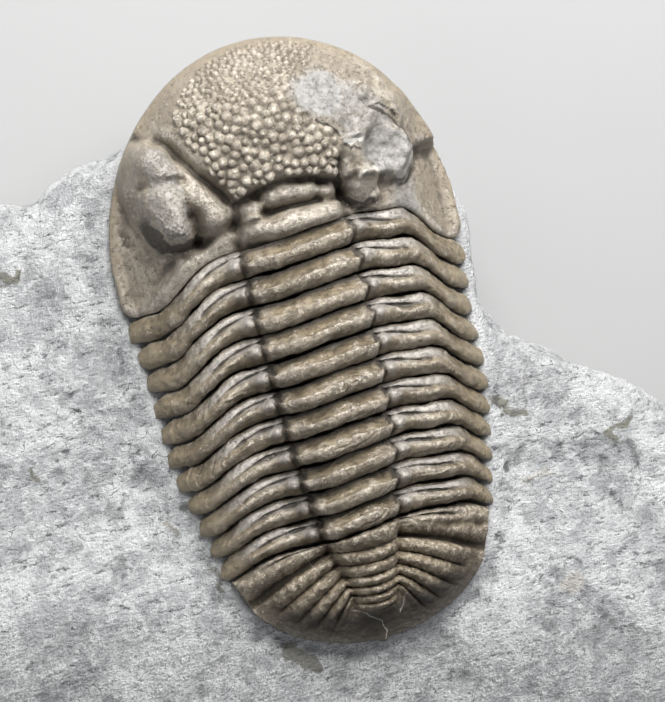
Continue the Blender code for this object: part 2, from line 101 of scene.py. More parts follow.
low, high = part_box("thoracic_segment_06")
ORIGIN = Vector(((low.x + high.x) / 2.0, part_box("cephalon")[1].y - HEAD_FRONT_Y * MM, SLAB_THICKNESS * MM))
print("solids:", sorted(frame["nodes"]))
print("fossil's own origin:", [round(value / MM, 2) for value in ORIGIN])

# %% [markdown]
# The fossil has its own frame: the midline runs along Y with the head at +Y, the sixth ring is at
# Y = 0, and the bed of the rock is at Z = 0. A few short functions read curves and turn arrays of
# points into meshes. NumPy does this for a hundred thousand points at once.

# %% Numbers along curves
def smooth_step(value):
    value = np.clip(value, 0.0, 1.0)
    return value * value * (3.0 - 2.0 * value)


def bell(distance, width):
    return np.exp(-(distance / width) ** 2)


def along(points, position):
    """Read a value off (position, value) pairs, straight between them."""
    return np.interp(position, [point[0] for point in points], [point[1] for point in points])


def line_distance(x, y, line):
    """Distance of every point to a line of a few corners."""
    nearest = np.full(np.shape(x), 1e9)
    for (ax, ay), (bx, by) in zip(line, line[1:]):
        length = (bx - ax) ** 2 + (by - ay) ** 2
        share = np.clip(((x - ax) * (bx - ax) + (y - ay) * (by - ay)) / length, 0.0, 1.0)
        away = np.hypot(x - ax - (bx - ax) * share, y - ay - (by - ay) * share)
        nearest = np.minimum(nearest, away)
    return nearest


def rough_field(x, y, size, seed):
    """Smooth random values from -1 to 1, which change over about one size."""
    lattice = np.random.default_rng(seed).uniform(-1.0, 1.0, (128, 128))
    column, row = np.floor(x / size).astype(int), np.floor(y / size).astype(int)
    across, up = smooth_step(x / size - column), smooth_step(y / size - row)
    low = lattice[column % 128, row % 128] * (1.0 - across) + lattice[(column + 1) % 128, row % 128] * across
    top = lattice[column % 128, (row + 1) % 128] * (1.0 - across) + lattice[
        (column + 1) % 128, (row + 1) % 128
    ] * across
    return low * (1.0 - up) + top * up


def shaken(x, y, size, reach, seed):
    """The same places, pushed about a little, so that drawn lines lose their regularity."""
    return x + reach * rough_field(x, y, size, seed), y + reach * rough_field(x, y, size, seed + 1)


# %% Meshes from points
def mesh_points(mesh):
    """The mesh's points in millimetres, in the fossil's frame."""
    flat = np.empty(len(mesh.vertices) * 3)
    mesh.vertices.foreach_get("co", flat)
    return (flat.reshape(-1, 3) - np.array(ORIGIN)) / MM


def store(mesh, name, values):
    """Keep one number per point, which a tree or a material can read by name."""
    layer = mesh.attributes.new(name, "FLOAT", "POINT")
    layer.data.foreach_set("value", np.ascontiguousarray(values, dtype=np.float32))


def in_order(parts):
    """The parts of a mesh, once each and in the mesh's own order, so that every run is the same."""
    return sorted(set(parts), key=lambda part: part.index)


def add_piece(name, mesh):
    piece = bpy.data.objects.new(name, mesh)
    bpy.context.scene.collection.objects.link(piece)
    return piece


def closed_grid(name, top, feet):
    """Close a grid of top points with rings of foot points and a flat underside."""
    rows, columns = top.shape[:2]
    index = np.arange(rows * columns).reshape(rows, columns)
    quads = np.stack((index[:-1, :-1], index[:-1, 1:], index[1:, 1:], index[1:, :-1]), axis=-1)
    faces = quads.reshape(-1, 4).tolist()
    rim = np.concatenate((index[0], index[1:, -1], index[-1, -2::-1], index[-2:0:-1, 0]))
    points = [top.reshape(-1, 3)]
    above = rim
    for ring in feet:
        start = sum(len(part) for part in points)
        below = np.arange(start, start + len(rim))
        points.append(ring(top.reshape(-1, 3)[rim]))
        faces += np.stack((above, below, np.roll(below, -1), np.roll(above, -1)), axis=-1).tolist()
        above = below
    centre = sum(len(part) for part in points)
    points.append(points[-1].mean(axis=0, keepdims=True))
    faces += [(int(a), centre, int(b)) for a, b in zip(above, np.roll(above, -1))]
    mesh = bpy.data.meshes.new(name)
    mesh.from_pydata(np.concatenate(points) * MM + np.array(ORIGIN), [], faces)
    build = bmesh.new()
    build.from_mesh(mesh)
    bmesh.ops.recalc_face_normals(build, faces=build.faces)
    build.to_mesh(mesh)
    build.free()
    mesh.shade_smooth()
    return mesh


# %% [markdown]
# Node trees are easier to read as sums. A Wire stands for a value that flows through a tree, and
# adding or multiplying two wires makes the Math node between them. The same class serves geometry
# trees and material trees, because both have these nodes.

# %% Wires
def pick(sockets, name):
    """The socket of that name or place which is in use."""
    if isinstance(name, int):
        return sockets[name]
    return next(socket for socket in sockets if socket.name == name and socket.enabled)


def feed(socket, value):
    if isinstance(value, Wire):
        socket.id_data.links.new(value.socket, socket)
    else:
        socket.default_value = value


def add_node(tree, kind, feeds=(), **settings):
    node = tree.nodes.new(kind)
    for name, value in settings.items():
        setattr(node, name, value)
    for name, value in dict(feeds).items():
        feed(pick(node.inputs, name), value)
    return node


def out(node, name=0):
    return Wire(pick(node.outputs, name))


class Wire:
    """A value in a node tree, for sums that make their own nodes."""

    def __init__(self, socket):
        self.socket = socket
        self.tree = socket.id_data

    def math(self, operation, *others):
        feeds = dict(enumerate((self,) + others))
        return out(add_node(self.tree, "ShaderNodeMath", feeds, operation=operation))

    def vector(self, operation, *others, result="Vector"):
        feeds = dict(enumerate((self,) + others))
        return out(add_node(self.tree, "ShaderNodeVectorMath", feeds, operation=operation), result)

    def scaled(self, amount):
        """This vector, times one number."""
        return out(
            add_node(self.tree, "ShaderNodeVectorMath", {0: self, "Scale": amount}, operation="SCALE")
        )

    def remap(self, low, high, to_low=0.0, to_high=1.0, kind="SMOOTHSTEP"):
        feeds = {"Value": self, "From Min": low, "From Max": high, "To Min": to_low, "To Max": to_high}
        return out(add_node(self.tree, "ShaderNodeMapRange", feeds, interpolation_type=kind))

    def bell(self, width):
        return ((self / width) * (self / width) * -1.0).math("EXPONENT")

    def toward(self, other, share):
        """This value at share 0 and the other one at share 1."""
        return self + (other - self) * share

    def __add__(self, other):
        return self.math("ADD", other)

    def __sub__(self, other):
        return self.math("SUBTRACT", other)

    def __rsub__(self, other):
        return self.math("MULTIPLY", -1.0).math("ADD", other)

    def __mul__(self, other):
        return self.math("MULTIPLY", other)

    def __truediv__(self, other):
        return self.math("DIVIDE", other)

    __radd__ = __add__
    __rmul__ = __mul__


def new_tree(name, kind, inputs, outputs):
    """An empty node group with named sockets; inputs are (name, type, value)."""
    tree = bpy.data.node_groups.new(name, kind)
    for label, socket, value in inputs:
        made = tree.interface.new_socket(label, in_out="INPUT", socket_type="NodeSocket" + socket)
        if value is not None:
            made.default_value = value
    for label, socket in outputs:
        tree.interface.new_socket(label, in_out="OUTPUT", socket_type="NodeSocket" + socket)
    given = tree.nodes.new("NodeGroupInput")
    wires = {socket.name: Wire(socket) for socket in given.outputs if socket.name}
    return tree, wires, tree.nodes.new("NodeGroupOutput")


def noise_wire(tree, vector, scale, detail=3.0, roughness=0.55, **settings):
    feeds = {"Vector": vector, "Scale": scale, "Detail": detail, "Roughness": roughness}
    return out(add_node(tree, "ShaderNodeTexNoise", feeds, **settings))


def curve_wire(share, points, low, high):
    """A value that follows a drawn curve of (share, value) points."""
    node = add_node(share.tree, "ShaderNodeFloatCurve", {"Value": share})
    drawn = node.mapping.curves[0].points
    while len(drawn) < len(points):
        drawn.new(0.5, 0.5)
    for place, (position, value) in zip(drawn, points):
        place.location = (position, (value - low) / (high - low))
        place.handle_type = "AUTO_CLAMPED"
    node.mapping.update()
    return out(node) * (high - low) + low


# %% [markdown]
# The trees that shape meshes share a few steps: they all measure places in millimetres, keep
# numbers on the points under a name, and move the points out along their normals.

# %% Steps of a mesh tree
def mesh_tree(name, numbers, *others):
    """An empty tree that takes a mesh, numbers and a material, and gives a mesh."""
    floats = [(label, "Float", value) for label, value in numbers]
    inputs = [("Geometry", "Geometry", None), *floats, *others, ("Material", "Material", None)]
    return new_tree(name, "GeometryNodeTree", inputs, [("Geometry", "Geometry")])


def combined(tree, x, y=0.0, z=0.0):
    return out(add_node(tree, "ShaderNodeCombineXYZ", {0: x, 1: y, 2: z}))


def position_wire(tree):
    return out(add_node(tree, "GeometryNodeInputPosition"))


def named(tree, name):
    return out(
        add_node(tree, "GeometryNodeInputNamedAttribute", {"Name": name}, data_type="FLOAT"), "Attribute"
    )


def keep(tree, geometry, name, value):
    feeds = {"Geometry": geometry, "Name": name, "Value": value}
    return out(add_node(tree, "GeometryNodeStoreNamedAttribute", feeds, data_type="FLOAT", domain="POINT"))


def set_position(tree, geometry, **feeds):
    return out(add_node(tree, "GeometryNodeSetPosition", {"Geometry": geometry, **feeds}))


def push_out(tree, geometry, rise):
    """Move the points along their normals by so many units."""
    normal = out(add_node(tree, "GeometryNodeInputNormal"))
    return set_position(tree, geometry, Offset=normal.scaled(rise))


# %% [markdown]
# A modifier keeps its inputs under socket identifiers, so a small function looks the name up. The
# result of a tree is baked to a plain mesh, because the finished piece must stand without it.

# %% Running a tree
def set_input(modifier, name, value):
    for item in modifier.node_group.interface.items_tree:
        if item.item_type == "SOCKET" and item.in_out == "INPUT" and item.name == name:
            modifier[item.identifier] = value
            return
    raise KeyError(name)


def bake(piece):
    """Turn the piece's modifiers into its plain mesh."""
    bpy.context.view_layer.update()
    depsgraph = bpy.context.evaluated_depsgraph_get()
    mesh = bpy.data.meshes.new_from_object(
        piece.evaluated_get(depsgraph), preserve_all_data_layers=True, depsgraph=depsgraph
    )
    piece.modifiers.clear()
    piece.data = mesh
    mesh.name = piece.name
    return mesh


def run_tree(piece, tree, inputs):
    modifier = piece.modifiers.new(tree.name, "NODES")
    modifier.node_group = tree
    for name, value in inputs.items():
        set_input(modifier, name, value)
    return bake(piece)


# %% [markdown]
# Every surface of this fossil is worn: its crests are scuffed pale. Its furrows get painted shade,
# and its raised parts a painted sheen. The relief tree measures that once for all pieces. It blurs
# the points, and how far a point stands above its blurred place along the normal is its relief,
# kept under a name.

# %% The relief tree
def relief_tree():
    tree, given, result = new_tree(
        "measure relief", "GeometryNodeTree", [("Geometry", "Geometry", None)], [("Geometry", "Geometry")]
    )
    geometry = given["Geometry"]
    position = position_wire(tree)
    normal = out(add_node(tree, "GeometryNodeInputNormal"))
    for name, passes in (("relief", 8), ("hollow", 60)):
        blur = add_node(
            tree, "GeometryNodeBlurAttribute", {
                "Value": position, "Iterations": passes
            }, data_type="FLOAT_VECTOR"
        )
        stands = position.vector("SUBTRACT", out(blur, "Value")).vector(
            "DOT_PRODUCT", normal, result="Value"
        )
        geometry = keep(tree, geometry, name, stands / MM)
    feed(result.inputs["Geometry"], geometry)
    return tree


RELIEF_TREE = relief_tree()


def finish_tree(tree, geometry, material, result):
    """Measure the relief, set the material and close the tree."""
    measure = add_node(tree, "GeometryNodeGroup", node_tree=RELIEF_TREE)
    feed(measure.inputs[0], geometry)
    smooth = add_node(tree, "GeometryNodeSetShadeSmooth", {"Geometry": out(measure)})
    real = add_node(tree, "GeometryNodeRealizeInstances", {"Geometry": out(smooth)})
    dressed = add_node(tree, "GeometryNodeSetMaterial", {"Geometry": out(real), "Material": material})
    feed(result.inputs["Geometry"], out(dressed))


# %% [markdown]
# The finishes come next. The shell is calcite: satin brown, yellower on the rings, with pale scuffs
# on the crests and fine pale veins. A grey painted sheen lies on its raised parts and on the front
# bands of the ribs, and painted shade lies in its furrows, on the flanks of the plates and at the end
# of the tail. All shell plates share one group that mixes these from named colours, so that three
# materials differ in values only.

# %% Shell colours
def lay(tree, colour, *layers):
    """Lay colours over one another, each by its own share."""
    for share, over in layers:
        node = add_node(tree, "ShaderNodeMix", {"Factor": share}, data_type="RGBA", clamp_factor=True)
        feed(node.inputs[6], colour)
        feed(node.inputs[7], over)
        colour = Wire(node.outputs[2])
    return colour


def attribute(tree, name):
    return out(add_node(tree, "ShaderNodeAttribute", attribute_name=name), "Fac")


def colour_group(name, colours, *others):
    """An empty group that takes colours, and gives a colour, a roughness and a height."""
    inputs = [("Vector", "Vector", None), *(
        (label, "Color", (0.5, 0.5, 0.5, 1.0)) for label in colours
    ), *others]
    return new_tree(
        name, "ShaderNodeTree", inputs, [("Color", "Color"), ("Roughness", "Float"), ("Height", "Float")]
    )


def close_group(result, colour, roughness, height):
    for name, wire in (("Color", colour), ("Roughness", roughness), ("Height", height)):
        feed(result.inputs[name], wire)


def shell_group():
    tree, given, result = colour_group(
        "shell finish", ("Stain", "Brown", "Tan", "Bloom", "Scuff", "Margin"),
        ("Scuffing", "Float", 0.5), ("Staining", "Float", 0.9),
    )
    spot = given["Vector"]
    relief, hollow, margin, bared = (
        attribute(tree, name) for name in ("relief", "hollow", "margin", "pale")
    )
    cloud = noise_wire(tree, spot, 0.35, 4.0)
    grain = noise_wire(tree, spot, 2.2, 6.0, 0.72)
    fine = noise_wire(tree, spot, 8.0, 4.0, 0.75)
    speck = add_node(tree, "ShaderNodeTexVoronoi", {"Vector": spot, "Scale": 1.7, "Randomness": 1.0})
    chance = out(add_node(tree, "ShaderNodeSeparateXYZ", {0: out(speck, "Color")}), "X")
    worn = (relief + hollow * 0.25 + (fine - 0.5) * 0.1).remap(0.02, 0.075)
    scuffed = worn * (grain + (fine - 0.5) * 1.2 + given["Scuffing"] - 0.5).remap(0.5, 0.62) * (1.0 - margin)
    # Painted shade in the hollows and creases, laid in the stain colour.
    hollows_shaded = (hollow + relief * 2.0 + (grain - 0.5) * 0.14).remap(0.0, -0.28)
    pores = (fine * 0.6 + grain * 0.4).remap(0.48, 0.36)
    dust = (
        out(speck, "Distance") + (fine - 0.5) * 0.2
    ).remap(0.13, 0.08) * chance.remap(0.5, 0.6, kind="LINEAR")
    pale = (bared + (grain - 0.5) * 0.7 + (fine - 0.5) * 0.4).remap(0.2, 0.8)
    bare = lay(tree, (0.18, 0.173, 0.16, 1.0), (grain.remap(0.35, 0.65), (0.25, 0.243, 0.23, 1.0)))
    white = (attribute(tree, "white") + (fine - 0.5) * 0.4).remap(0.35, 0.8)
    dark = (attribute(tree, "dark") + (grain - 0.5) * 0.3).remap(0.25, 0.75)
    vein = (attribute(tree, "vein") + (fine - 0.5) * 0.5).remap(0.3, 0.7)
    colour = lay(
        tree, given["Brown"],
        ((cloud + (grain - 0.5) * 0.8).remap(0.38, 0.66), given["Tan"]),
        # Painted sheen on raised places, and on the front bands of the ribs and the bosses beside the rings.
        ((hollow + (cloud - 0.5) * 0.4).remap(0.0, 0.2) * 0.22, given["Bloom"]),
        (attribute(tree, "painted_sheen") * (grain + 0.25), given["Bloom"]),
        # On the tail the margin colour is a dark painted shade; on the head and the ribs it is their own
        # tone at the edge.
        (margin * (0.45 + cloud * 0.7), given["Margin"]),
        (scuffed * 0.75, given["Scuff"]),
        # Painted shade in the hollows; the pores after it are real dark specks.
        (hollows_shaded * given["Staining"], given["Stain"]),
        (pores * 0.7, given["Stain"]),
        (dust * 0.85, given["Scuff"]),
        (pale * bared.remap(0.0, 0.1), bare),
        (white, (0.55, 0.53, 0.49, 1.0)),
        # The dark share is painted shade on the segments' flanks, the tail's end and the lower lenses, and
        # the real dark colour of the lump and the cracks of the break.
        (dark * 0.9, (0.032, 0.026, 0.019, 1.0)),
        (vein * 0.36, (0.55, 0.52, 0.46, 1.0)),
    )
    roughness = 0.32 + grain * 0.2 + scuffed * 0.15 + hollows_shaded * 0.2 + pale * 0.32 + dark * 0.25
    close_group(result, colour, roughness, grain * 0.5 + fine * 0.55 - pores * 0.5)
    return tree


SHELL_GROUP = shell_group()


def start_material(name):
    """A material with one Principled shader, and a position in millimetres."""
    material = bpy.data.materials.new(name)
    material.use_nodes = True
    tree = material.node_tree
    shader = tree.nodes["Principled BSDF"]
    shader.inputs["Metallic"].default_value = 0.0
    place = out(add_node(tree, "ShaderNodeTexCoord"), "Object")
    millimetres = out(add_node(tree, "ShaderNodeMapping", {"Vector": place, "Scale": (1.0 / MM,) * 3}))
    return material, tree, shader, millimetres


def finish_material(tree, shader, group, bump, depth):
    feed(shader.inputs["Base Color"], out(group, "Color"))
    feed(shader.inputs["Roughness"], out(group, "Roughness"))
    raised = add_node(
        tree, "ShaderNodeBump", {"Strength": bump, "Distance": depth * MM, "Height": out(group, "Height")}
    )
    feed(shader.inputs["Normal"], out(raised))


def shell_material(name, scuffing, hollow_shading, coat, **colours):
    material, tree, shader, place = start_material(name)
    group = add_node(tree, "ShaderNodeGroup", node_tree=SHELL_GROUP)
    feed(group.inputs["Vector"], place)
    group.inputs["Scuffing"].default_value = scuffing
    group.inputs["Staining"].default_value = hollow_shading
    for label, colour in colours.items():
        group.inputs[label].default_value = (*colour, 1.0)
    shader.inputs["IOR"].default_value = 1.5
    shader.inputs["Coat Weight"].default_value = coat
    shader.inputs["Coat Roughness"].default_value = 0.3
    finish_material(tree, shader, group, 0.8, 0.17)
    return material


HEAD_SHELL = shell_material(
    "head shell", 0.44, 0.65, 0.15,
    Stain=(0.035, 0.028, 0.02), Brown=(0.205, 0.172, 0.13), Tan=(0.29, 0.25, 0.192),
    Bloom=(0.36, 0.34, 0.31), Scuff=(0.5, 0.46, 0.4), Margin=(0.23, 0.187, 0.13),
)
BODY_SHELL = shell_material(
    "body shell", 0.45, 0.85, 0.25,
    Stain=(0.036, 0.028, 0.018), Brown=(0.128, 0.1, 0.062), Tan=(0.205, 0.163, 0.104),
    Bloom=(0.32, 0.3, 0.28), Scuff=(0.46, 0.42, 0.35), Margin=(0.21, 0.168, 0.103),
)
# The tail's Margin colour is a dark painted shade for its rear, which slopes away from the light.
TAIL_SHELL = shell_material(
    "tail shell", 0.46, 0.75, 0.0,
    Stain=(0.028, 0.021, 0.014), Brown=(0.13, 0.102, 0.067), Tan=(0.23, 0.186, 0.126),
    Bloom=(0.18, 0.155, 0.122), Scuff=(0.46, 0.42, 0.35), Margin=(0.042, 0.033, 0.024),
)
print("shell materials:", [material.name for material in (HEAD_SHELL, BODY_SHELL, TAIL_SHELL)])

# %% [markdown]
# The rock is a matt, crumbly limestone. Its look is light grey patches broken by fine darker
# streaks, bruised white where an edge stands out, with a few olive flakes pressed into it. Its
# hollows get painted shade, and painted shade darkens it towards the lower left.

# %% Rock colours
def rock_group():
    tree, given, result = colour_group("rock finish", ("Light", "Grey", "StreakAndShade", "Bruise", "Olive"))
    spot = given["Vector"]
    relief = attribute(tree, "relief")
    hollow = attribute(tree, "hollow")
    cloud = noise_wire(tree, spot, 0.12, 4.0)
    patch = noise_wire(tree, spot, 0.7, 6.0, 0.65)
    streak = noise_wire(tree, spot.vector("MULTIPLY", (0.55, 1.5, 1.0)), 1.5, 6.0, 0.7)
    fine = noise_wire(tree, spot, 6.0, 4.0, 0.75)
    sand = noise_wire(tree, spot, 9.0, 3.0, 0.8)
    crumb = out(
        add_node(tree, "ShaderNodeTexVoronoi", {"Vector": spot, "Scale": 3.2, "Randomness": 1.0}),
        "Distance",
    )
    bent = spot.vector(
        "ADD", out(add_node(tree, "ShaderNodeTexNoise", {"Vector": spot, "Scale": 1.3}), "Color")
    )
    split = add_node(
        tree, "ShaderNodeTexVoronoi", {"Vector": bent, "Scale": 0.75}, feature="DISTANCE_TO_EDGE"
    )
    cracks = out(split, "Distance").remap(0.06, 0.01) * patch.remap(0.56, 0.66)
    ragged = (fine - 0.5) * 1.2 + (streak - 0.5) * 1.0
    flake = lay(
        tree, (0.07, 0.065, 0.045, 1.0), ((streak + (fine - 0.5) * 0.5).remap(0.4, 0.6), given["Olive"])
    )

    def mark(name, low, high):
        """A drawn mark, with ragged edges."""
        drawn = attribute(tree, name)
        return ((drawn + ragged) * drawn.remap(0.0, 0.3)).remap(low, high)

    colour = lay(
        tree, given["Grey"],
        ((patch + (cloud - 0.5) * 0.8).remap(0.35, 0.65), given["Light"]),
        ((streak + (fine - 0.5) * 0.35).remap(0.46, 0.34) * 0.8, given["StreakAndShade"]),
        # Painted shade in the rock's hollows.
        ((hollow + (fine - 0.5) * 0.2).remap(0.0, -0.3) * 0.6, given["StreakAndShade"]),
        ((relief + (fine - 0.5) * 0.1).remap(0.02, 0.09) * 0.6, given["Bruise"]),
        (cracks * 0.75, (0.09, 0.09, 0.09, 1.0)),
        ((fine * 0.5 + streak * 0.5).remap(0.56, 0.64) * 0.7, given["Bruise"]),
        (sand.remap(0.46, 0.34) * 0.7, given["StreakAndShade"]),
        (sand.remap(0.58, 0.68) * 0.5, given["Bruise"]),
        (mark("olive", 0.3, 0.85) * 0.8, flake),
        # Dark flakes, and painted shade that grows towards the lower left.
        (mark("dark", 0.35, 0.75) * 0.8, (0.14, 0.14, 0.137, 1.0)),
        (mark("cream", 0.3, 0.8) * 0.5, (0.66, 0.6, 0.52, 1.0)),
    )
    height = patch * 0.8 + streak * 0.8 + fine * 0.8 + sand * 0.4 - crumb * 0.3 - cracks * 0.4
    close_group(result, colour, 0.72 + fine * 0.25, height)
    return tree


def rock_material():
    material, tree, shader, place = start_material("broken limestone")
    group = add_node(tree, "ShaderNodeGroup", node_tree=rock_group())
    feed(group.inputs["Vector"], place)
    shades = {
        "Light": (0.87, 0.874, 0.865), "Grey": (0.5, 0.508, 0.512), "StreakAndShade": (0.065, 0.067, 0.07),
        "Bruise": (0.87, 0.87, 0.86), "Olive": (0.2, 0.19, 0.12),
    }
    for label, colour in shades.items():
        group.inputs[label].default_value = (*colour, 1.0)
    finish_material(tree, shader, group, 1.0, 0.75)
    return material


ROCK = rock_material()

# %% [markdown]
# A segment of the thorax is one plate: a ring in the middle and a rib on each side. Each is made
# by one tree from a capped tube, with the tube's length turned into the width of the animal and
# its turn into the cut through the plate. Three drawn cuts are blended: on the ring, on the flat
# part of the rib, and on its paddle. The rear lip hangs over the next plate, as on the real one.

# %% The cuts through a plate
FIRST_RING_Y, FIRST_PITCH, PITCH_LOSS = 10.95, 2.28, 0.028
PLATE_GAP, BED_GAP, JOINT_LEAN = 0.1, 0.3, 0.08
RING_HALF_WIDTH, RING_TAPER, RING_ARCH = 4.35, 1.25, 2.5
CREST_HEIGHT, CREST_DROP, PLEURA_DROP = 10.7, 2.9, 3.2
FULCRUM_X, FULCRUM_SOFTNESS = 8.4, 0.55
TIP_HEIGHT, TIP_LENGTH, TIP_FRONT_CUT, TIP_BACK_CUT = 1.5, 1.5, 1.0, 0.4
FIRST_SWEEP, LAST_SWEEP, SWEEP_START_X, SWEEP_END_X = 3.3, 1.7, 3.6, 11.6
THORAX_HALF_WIDTH = ((-11.8, 11.0), (-5.0, 12.4), (0.0, 13.2), (7.0, 13.4), (11.2, 13.8))
# Each cut runs round the plate from the bed in front: turn, share of the length, drop below the crest.
RING_CUT = (
    (0.0, 0.12, -3.0), (0.05, 0.12, -2.4), (0.1, 0.04, -1.8), (0.15, 0.01, -1.45), (0.2, 0.06, -1.3),
    (0.25, 0.12, -1.2), (0.3, 0.16, -0.95), (0.36, 0.22, -0.55), (0.43, 0.33, -0.2), (0.5, 0.47, 0.0),
    (0.58, 0.62, -0.04), (0.65, 0.76, -0.26), (0.71, 0.87, -0.62), (0.76, 0.94, -1.0), (0.8, 0.975, -1.4),
    (0.84, 0.96, -1.8), (0.89, 0.88, -2.3), (0.94, 0.86, -2.7), (1.0, 0.12, -3.0),
)
FLAT_CUT = (
    (0.0, 0.12, -3.0), (0.05, 0.12, -2.4), (0.1, 0.04, -1.5), (0.15, 0.01, -0.95), (0.2, 0.06, -0.58),
    (0.25, 0.15, -0.4), (0.3, 0.25, -0.4), (0.35, 0.32, -0.56), (0.39, 0.37, -0.68), (0.43, 0.42, -0.42),
    (0.48, 0.48, -0.1), (0.54, 0.57, 0.0), (0.61, 0.68, -0.12), (0.67, 0.79, -0.4), (0.73, 0.89, -0.8),
    (0.78, 0.96, -1.2), (0.82, 0.97, -1.5), (0.86, 0.93, -1.8), (0.9, 0.87, -2.2), (1.0, 0.12, -3.0),
)
PADDLE_CUT = (
    (0.0, 0.12, -3.0), (0.05, 0.12, -2.2), (0.1, 0.03, -1.5), (0.15, 0.01, -1.05), (0.2, 0.07, -0.8),
    (0.25, 0.16, -0.65), (0.31, 0.26, -0.42), (0.38, 0.36, -0.14), (0.46, 0.48, 0.0), (0.54, 0.61, -0.04),
    (0.62, 0.74, -0.18), (0.69, 0.86, -0.48), (0.75, 0.95, -0.88), (0.8, 0.98, -1.2), (0.85, 0.94, -1.5),
    (0.89, 0.87, -1.9), (1.0, 0.12, -3.0),
)
LEGS = ((0.0, 1.0), (0.05, 0.5), (0.1, 0.0), (0.88, 0.0), (0.94, 0.5), (1.0, 1.0))
TUBE_STEPS, CUT_STEPS, TIP_CROWDING = 300, 60, 1.35


def ring_y(index):
    steps = index - 1
    return FIRST_RING_Y - steps * FIRST_PITCH + PITCH_LOSS * steps * (steps - 1) / 2.0


def joint_middle_y(joint):
    return (ring_y(joint) + ring_y(joint + 1)) / 2.0


def body_share(y):
    return (ring_y(1) - y) / (ring_y(1) - ring_y(SEGMENTS))


def crest_height(y):
    return CREST_HEIGHT - CREST_DROP * np.maximum(0.0, body_share(y)) ** 1.8


def sweep_reach(joint):
    return FIRST_SWEEP + (LAST_SWEEP - FIRST_SWEEP) * joint / SEGMENTS


def sweep(joint, x):
    """How far a joint lies back; the rock has sheared the fossil, so its right ribs turn back later."""
    share = np.clip((np.abs(x) - SWEEP_START_X) / (SWEEP_END_X - SWEEP_START_X), 0.0, 1.0)
    late = 0.6 * bell(x - 9.7, 2.2) + 0.09 * bell(x - 5.8, 1.6)
    return sweep_reach(joint) * (smooth_step(share ** 1.7) - late) - 0.14 * x * bell(x, 5.0)


def pleura_height(x, y):
    flat = crest_height(y) - PLEURA_DROP
    slope = (flat - TIP_HEIGHT) / (along(THORAX_HALF_WIDTH, y) - FULCRUM_X)
    return flat - slope * FULCRUM_SOFTNESS * np.log1p(np.exp((np.abs(x) - FULCRUM_X) / FULCRUM_SOFTNESS))


